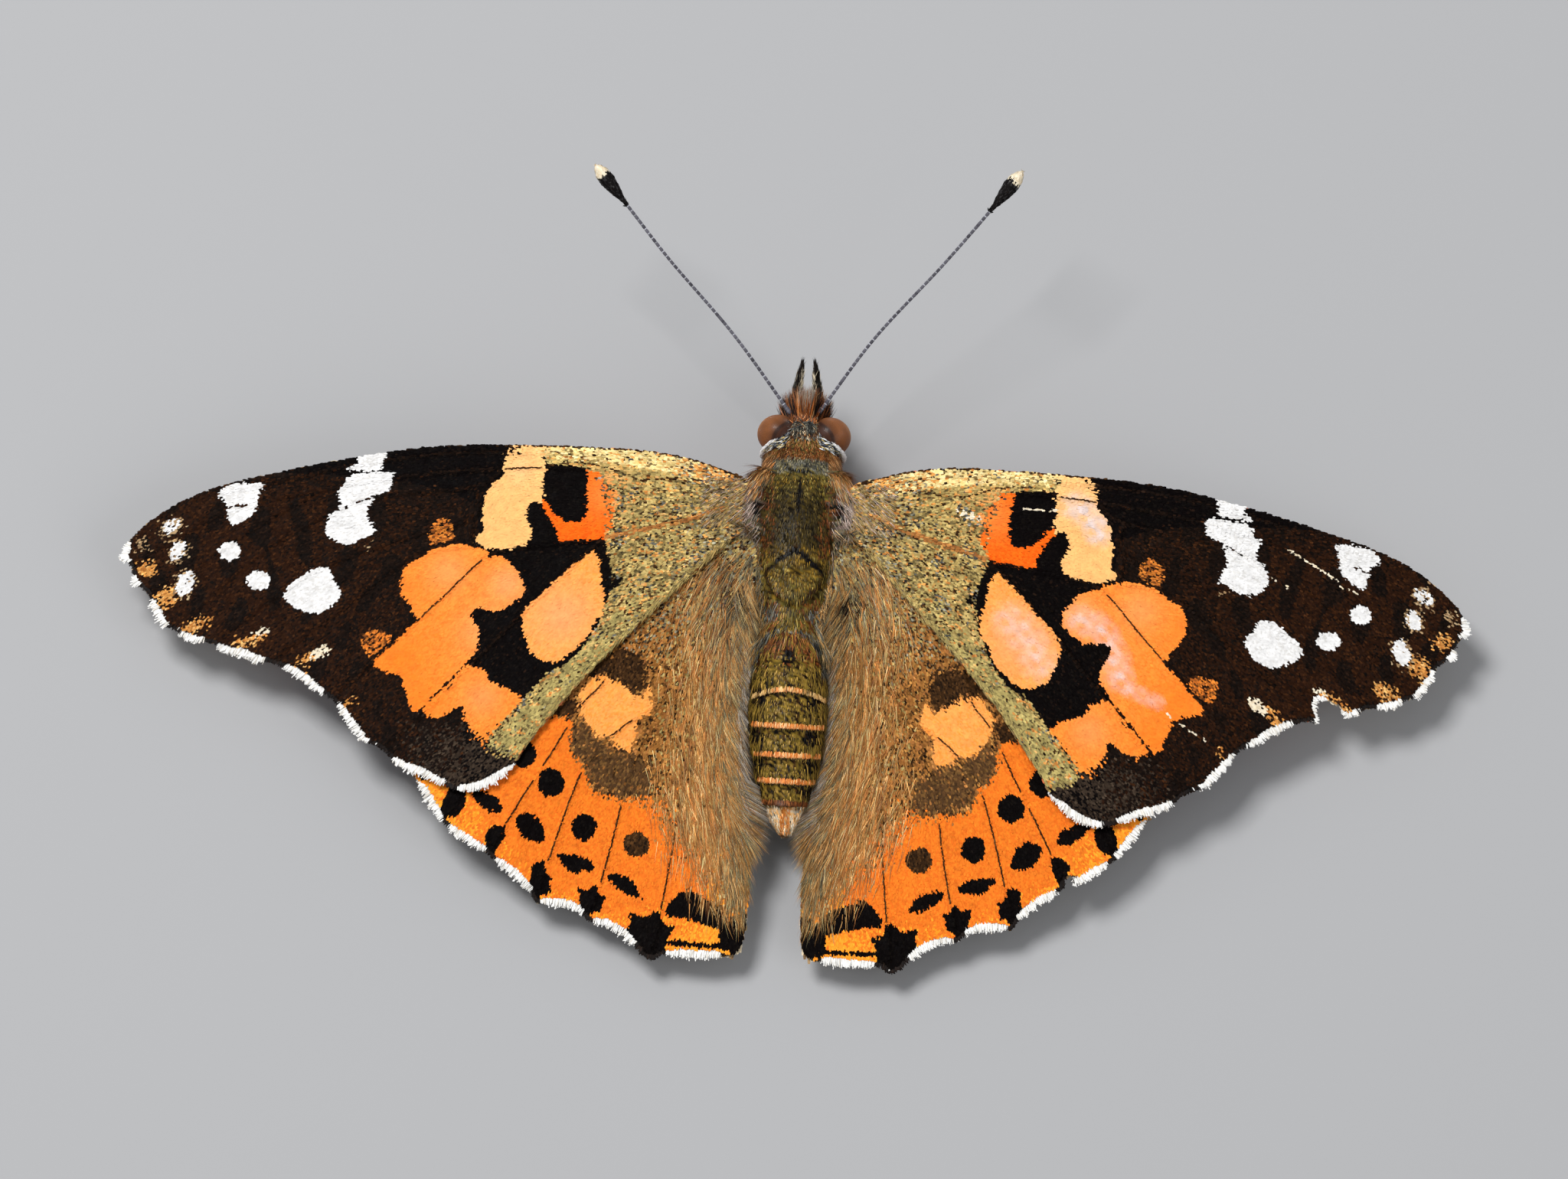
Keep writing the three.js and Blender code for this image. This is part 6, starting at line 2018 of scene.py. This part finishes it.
def coat_on(name, line, radii, count, palette_of, width, length, lift, slot, kind, seed, material,
            droop=0.1, taper=0.0):
    """Hairs or scales over a tube, shorter at its end by the taper."""
    rng = np.random.default_rng(seed)
    roots, up = strew(*tube(line, radii), count, rng)
    nearest = nearest_on(line, roots)
    on_line = nearest / (len(line) - 1)
    size = columns(rng.uniform(*width, count), rng.uniform(*length, count) * (1 - taper * on_line),
                   1 if kind == "scale" else rng.uniform(*width, count))
    lie = lying(unit(np.gradient(line, axis=0))[nearest], up, lift, rng)
    grow(name, kind, MATERIALS[material], slot, roots, lie, up, size, -up * droop * size[:, 1:2],
         palette_of(on_line, up, rng), tube_map(on_line, round_it(up)))


def make_core(name, line, radii, sides, material, seen, nodes=()):
    """A plain tube of one tone, to lie under a coat."""
    points, faces = tube(line, radii, sides)
    data = new_mesh(name, points, faces, MATERIALS[material], np.tile(tone(*seen), (len(points), 1)))
    keep(name, data, nodes)


def make_crescent(name, side):
    line = spline(CRESCENT, 8) * (side, 1, 1)
    half = np.interp(np.linspace(0, 1, len(line)), *CRESCENT_HALF)
    coat_on(f"eye_rim_{name}", line, half, 520,
            lambda t, up, rng: pick("white", len(t), rng),
            (0.05, 0.08), (0.16, 0.26), 0.2, "head_hair", "scale", 75, "fringe")
    make_core(f"eye_rim_{name}_core", line, half - 0.005, 12, "skin", (225, 222, 215))


for name, side in SIDES.items():
    make_crescent(name, side)

# %% [markdown]
# ## Feelers
# A feeler is a chain of about fifty short joints with a pale ring of scales at each, and ends in a
# club. The chain is beads strung along the spline by the same tree that grows scales, dark ones and
# narrow white ones in turn; the club is a turned tube with black scales and a cream tip.

# %% Feelers
FEELERS = {
    "left": [(-0.78, 4.35, 4.85), (-3.6, 7.6, 6.1), (-6.75, 10.6, 7.45), (-8.9, 12.85, 8.45),
             (-10.5, 14.5, 9.2)],
    "right": [(0.7, 4.45, 4.85), (3.05, 7.8, 6.05), (6.0, 11.05, 7.45), (8.2, 13.65, 8.55),
              (9.55, 15.35, 9.3)],
}
FEELER = {"shaft": 0.085, "joint": 0.27, "club": 0.36, "club_length": 2.3, "tip": 0.62}
# Where along it, and how thick there, as a share of the shaft and of the club.
SHAFT_SWELL = ([0, 0.04, 0.6, 1], [1.5, 1.0, 0.92, 1.1])
CLUB_SWELL = ([0, 0.15, 0.4, 0.62, 0.8, 0.93, 1], [0.2, 0.3, 0.72, 1.0, 0.95, 0.6, 0.12])
BEAD_LENGTHS = {"dark": 0.34, "white": 0.1}


def make_chain(name, spots, run, share):
    """Beads strung along a feeler, dark ones and narrow white ones in turn."""
    rng = np.random.default_rng(80 + len(name))
    count = len(spots)
    white = (np.arange(count) % 2 == 1) & (rng.random(count) < 0.9)
    thick = 2 * FEELER["shaft"] * np.interp(share, *SHAFT_SWELL) * np.where(white, 1.05, 1.0)
    size = columns(thick, np.where(white, BEAD_LENGTHS["white"], BEAD_LENGTHS["dark"]), thick)
    colour = np.where(white[:, None], tone(176, 176, 184) * rng.uniform(0.5, 1, (count, 1)),
                      pick("slate", count, rng))
    up = unit(np.cross(run, np.cross((0, 0, 1.0), run)))
    grow(f"antenna_{name}_chain", "bead", MATERIALS["horn"], "antenna", spots, run, up, size,
         np.zeros(3), colour, tube_map(share))


def make_club(name, line):
    radii = FEELER["club"] * np.interp(np.linspace(0, 1, len(line)), *CLUB_SWELL)
    cream_from = 1 - FEELER["tip"] / FEELER["club_length"]
    points, faces = tube(line, radii, 16)
    pale = (nearest_on(line, points) / (len(line) - 1) > cream_from)[:, None]
    data = new_mesh(f"antenna_{name}_club", points, faces, MATERIALS["horn"],
                    np.where(pale, tone(238, 226, 196), tone(26, 22, 22)))
    keep(data.name, data)

    def colours(t, up, rng):
        pale = (t + rng.normal(0, 0.015, len(t)) > cream_from)[:, None]
        return np.where(pale, pick("bone", len(t), rng), pick("ink", len(t), rng) * 1.2)

    coat_on(f"antenna_{name}_club_scales", line, radii, 950, colours, (0.06, 0.09), (0.14, 0.2), 0.1,
            "antenna", "scale", 83, "fringe")


def make_feeler(name):
    line = spline(FEELERS[name], 16)
    spots, run, share = evenly(line, FEELER["joint"] / 2)
    club_from = 1 - FEELER["club_length"] / (FEELER["joint"] / 2 * (len(spots) - 1))
    chain = share < club_from + 0.03
    make_chain(name, spots[chain], run[chain], share[chain])
    fine, _, share = evenly(line, 0.05)
    make_core(f"antenna_{name}_shaft", fine[share < club_from + 0.05], FEELER["shaft"] * 0.8, 8, "horn",
              (58, 56, 60), [f"antenna_{name}"])
    make_club(name, fine[share > club_from - 0.01])


for name in SIDES:
    make_feeler(name)

# %% [markdown]
# ## Palps and tongue
# Two bristly palps stand forward like a beak, black above and pale at the sides, with the coiled
# tongue between and below them. The tongue is two half tubes side by side, rolled up like a watch
# spring, so it is a pair of spirals given by a formula.

# %% Palps
PALP_LINE = [(0.72, 3.9, 2.9), (0.62, 4.8, 3.1), (0.5, 5.8, 3.5), (0.3, 7.2, 4.12)]
PALP_HALF = ([0, 0.2, 0.6, 0.85, 1], [0.16, 0.2, 0.17, 0.1, 0.02])  # where along it, half its thickness


def make_palp(name, side):
    line = evenly(spline(PALP_LINE, 10) * (side, 1, 1), 0.06)[0]
    radii = np.interp(np.linspace(0, 1, len(line)), *PALP_HALF)
    make_core(f"palp_{name}_core", line, radii, 12, "skin", (60, 48, 40), [f"palp_{name}"])

    def colours(t, up, rng):
        colour = pick("soot", len(t), rng)
        lay(colour, rng,
            ("buff", (up[:, 2] < 0.35) & (t < 0.8), 0.75),
            ("fox", t < 0.42, 0.6),
            ("bone", (up[:, 0] * side < -0.3) & (t > 0.2) & (t < 0.85), 0.55),
            ("smoke", (np.abs(up[:, 0]) > 0.6) & (t > 0.3) & (t < 0.75), 0.4))
        return colour

    coat_on(f"palp_{name}_bristles", line, radii, 2200, colours, (0.03, 0.05), (0.3, 0.7), 0.36, "palp",
            "hair", 91, "hair", droop=0.14, taper=0.45)


for name, side in SIDES.items():
    make_palp(name, side)

# %% Tongue
COIL = {"y": 4.8, "z": 1.85, "outer": 0.58, "inner": 0.16, "turns": 2.6, "thick": 0.085, "apart": 0.055}


def joined(shells):
    """Several closed skins as one mesh."""
    starts = np.cumsum([0] + [len(points) for points, _ in shells])
    return (np.vstack([points for points, _ in shells]),
            np.vstack([faces + start for (_, faces), start in zip(shells, starts)]))


def make_tongue():
    shells, count = [], 150
    t = np.linspace(0, 1, count)
    angle = math.pi * 0.75 + 2 * math.pi * COIL["turns"] * t
    reach = COIL["outer"] + (COIL["inner"] - COIL["outer"]) * t
    roll = columns(0, COIL["y"] + reach * np.cos(angle), COIL["z"] + reach * np.sin(angle))
    stem = spline([(0, 4.3, 3.3), (0, 4.22, 2.8), roll[0]], 8)
    for half in (-1, 1):
        line = evenly(np.vstack([stem[:-1], roll]), 0.05)[0] + (half * COIL["apart"], 0, 0)
        radii = np.interp(np.linspace(0, 1, len(line)), [0, 0.2, 1], [0.11, COIL["thick"], 0.045])
        shells.append(tube(line, radii, 10))
    points, faces = joined(shells)
    rings = 0.75 + 0.25 * np.sin(np.arange(len(points)) * 0.9)[:, None]
    data = new_mesh("tongue", points, faces, MATERIALS["horn"], tone(92, 56, 30) * rings)
    keep("tongue", data, ["proboscis"])
    print("tongue:", len(points), "points")


make_tongue()

# %% [markdown]
# ## Legs
# Four long walking legs in buff scales, with a darker five-jointed foot and two claws each, and two
# short forelegs that are only hairy brushes. Thigh, shin and foot are tubes round the lines of the
# solids; scales cover them, and the longer ones stand off as bristles.

# %% Legs
LEGS = {
    "midleg": [(1.3, -0.9, 2.5), (4.8, 0.3, 3.3), (7.9, 1.0, 0.3), (10.6, 1.6, 0.12)],
    "hindleg": [(1.2, -3.9, 2.6), (4.3, -5.6, 3.05), (7.2, -8.6, 0.3), (8.9, -10.8, 0.12)],
    "foreleg": [(0.85, 0.9, 2.5), (1.05, 3.3, 1.75), (0.75, 1.3, 0.95)],
}

# Thigh and shin: half thickness, how round either end is, and the thickness along the way.
LIMBS = [(0.26, (0.1, 0.12), ([0, 0.4, 1], [1.1, 1.0, 0.7])),
         (0.17, (0.08, 0.08), ([0, 0.3, 1], [0.9, 1.05, 0.8]))]
FOOT = {"half": 0.075, "joint_half": 0.03, "joints": 5}
CLAW_TONE = (52, 34, 22)
LEG_SCALES = {True: (900, 0.12), False: (1100, 0.8)}  # walking or not: how many on a thigh, share of hairs
PART_SHARES = (1, 0.9, 0.5)  # scales on thigh, shin and foot


def leg_parts(joints, walking):
    """The lines, radii and palettes of thigh, shin and foot, from the body outwards."""
    parts = []
    for k, (half, ends, swell) in enumerate(LIMBS):
        line = evenly(joints[k : k + 2], 0.08)[0]
        t = np.linspace(0, 1, len(line))
        parts.append((line, half * rounded(len(line), *ends) * np.interp(t, *swell), "leg"))
    if walking:
        foot = evenly(joints[2:], 0.04)[0]
        bulge = np.abs(np.sin(math.pi * (FOOT["joints"] * np.linspace(0, 1, len(foot)) % 1)))
        radii = (FOOT["half"] + FOOT["joint_half"] * np.sqrt(bulge)) * rounded(len(foot), 0.03, 0.03)
        parts.append((foot, radii, "foot"))
    return parts


def claws(toe, way):
    """Two small hooks at the end of a foot."""
    aside = np.cross(way, (0, 0, 1))
    lines = [spline([toe, toe + way * 0.18 + aside * half * 0.07 + (0, 0, 0.02),
                     toe + way * 0.32 + aside * half * 0.1 - (0, 0, 0.05)], 5) for half in (-1, 1)]
    return [tube(line, np.linspace(0.035, 0.006, len(line)), 6) for line in lines]


def coat_leg(name, parts, walking):
    """Scales over the parts of a leg, and longer ones that stand off as bristles."""
    rng = np.random.default_rng(95)
    most, hair_share = LEG_SCALES[walking]
    rows = []
    for part, (line, radii, palette) in enumerate(parts):
        count = int(most * PART_SHARES[part])
        spots, up = strew(*tube(line, radii, 12), count, rng)
        near = nearest_on(line, spots)
        hairy = rng.random(count) < hair_share
        lie = lying(unit(np.gradient(line, axis=0))[near], up, np.where(hairy, 0.5, 0.12)[:, None], rng)
        size = columns(np.where(hairy, 0.035, 0.075), np.where(hairy, 0.32, 0.16), 1)
        size = size * rng.uniform(0.8, 1.2, (count, 1))
        rows.append((spots, lie, up, size, np.zeros((count, 3)), pick(palette, count, rng),
                     tube_map((part + near / len(line)) / 3, round_it(up))))
    grow(name, "scale", MATERIALS["fringe"], "leg", *(np.vstack(parts) for parts in zip(*rows)))


def make_leg(kind, name, side):
    joints = np.array(LEGS[kind]) * (side, 1, 1)
    walking = kind != "foreleg"
    parts = leg_parts(joints, walking)
    shells = [tube(line, radii, 12) for line, radii, _ in parts]
    tones = [np.mean([t[1:] for t in PALETTES[palette][1]], 0) for _, _, palette in parts]
    if walking:
        way = unit((joints[3] - joints[2])[None])[0]
        shells += claws(joints[3] + way * 0.02, way)
        tones += [CLAW_TONE, CLAW_TONE]
    colours = np.vstack([np.tile(tone(*seen), (len(points), 1))
                         for seen, (points, _) in zip(tones, shells)])
    data = new_mesh(f"{kind}_{name}_shell", *joined(shells), MATERIALS["horn"], colours)
    keep(data.name, data, [f"{kind}_{name}"])
    coat_leg(f"{kind}_{name}_scales", parts, walking)


for kind in LEGS:
    for name, side in SIDES.items():
        make_leg(kind, name, side)
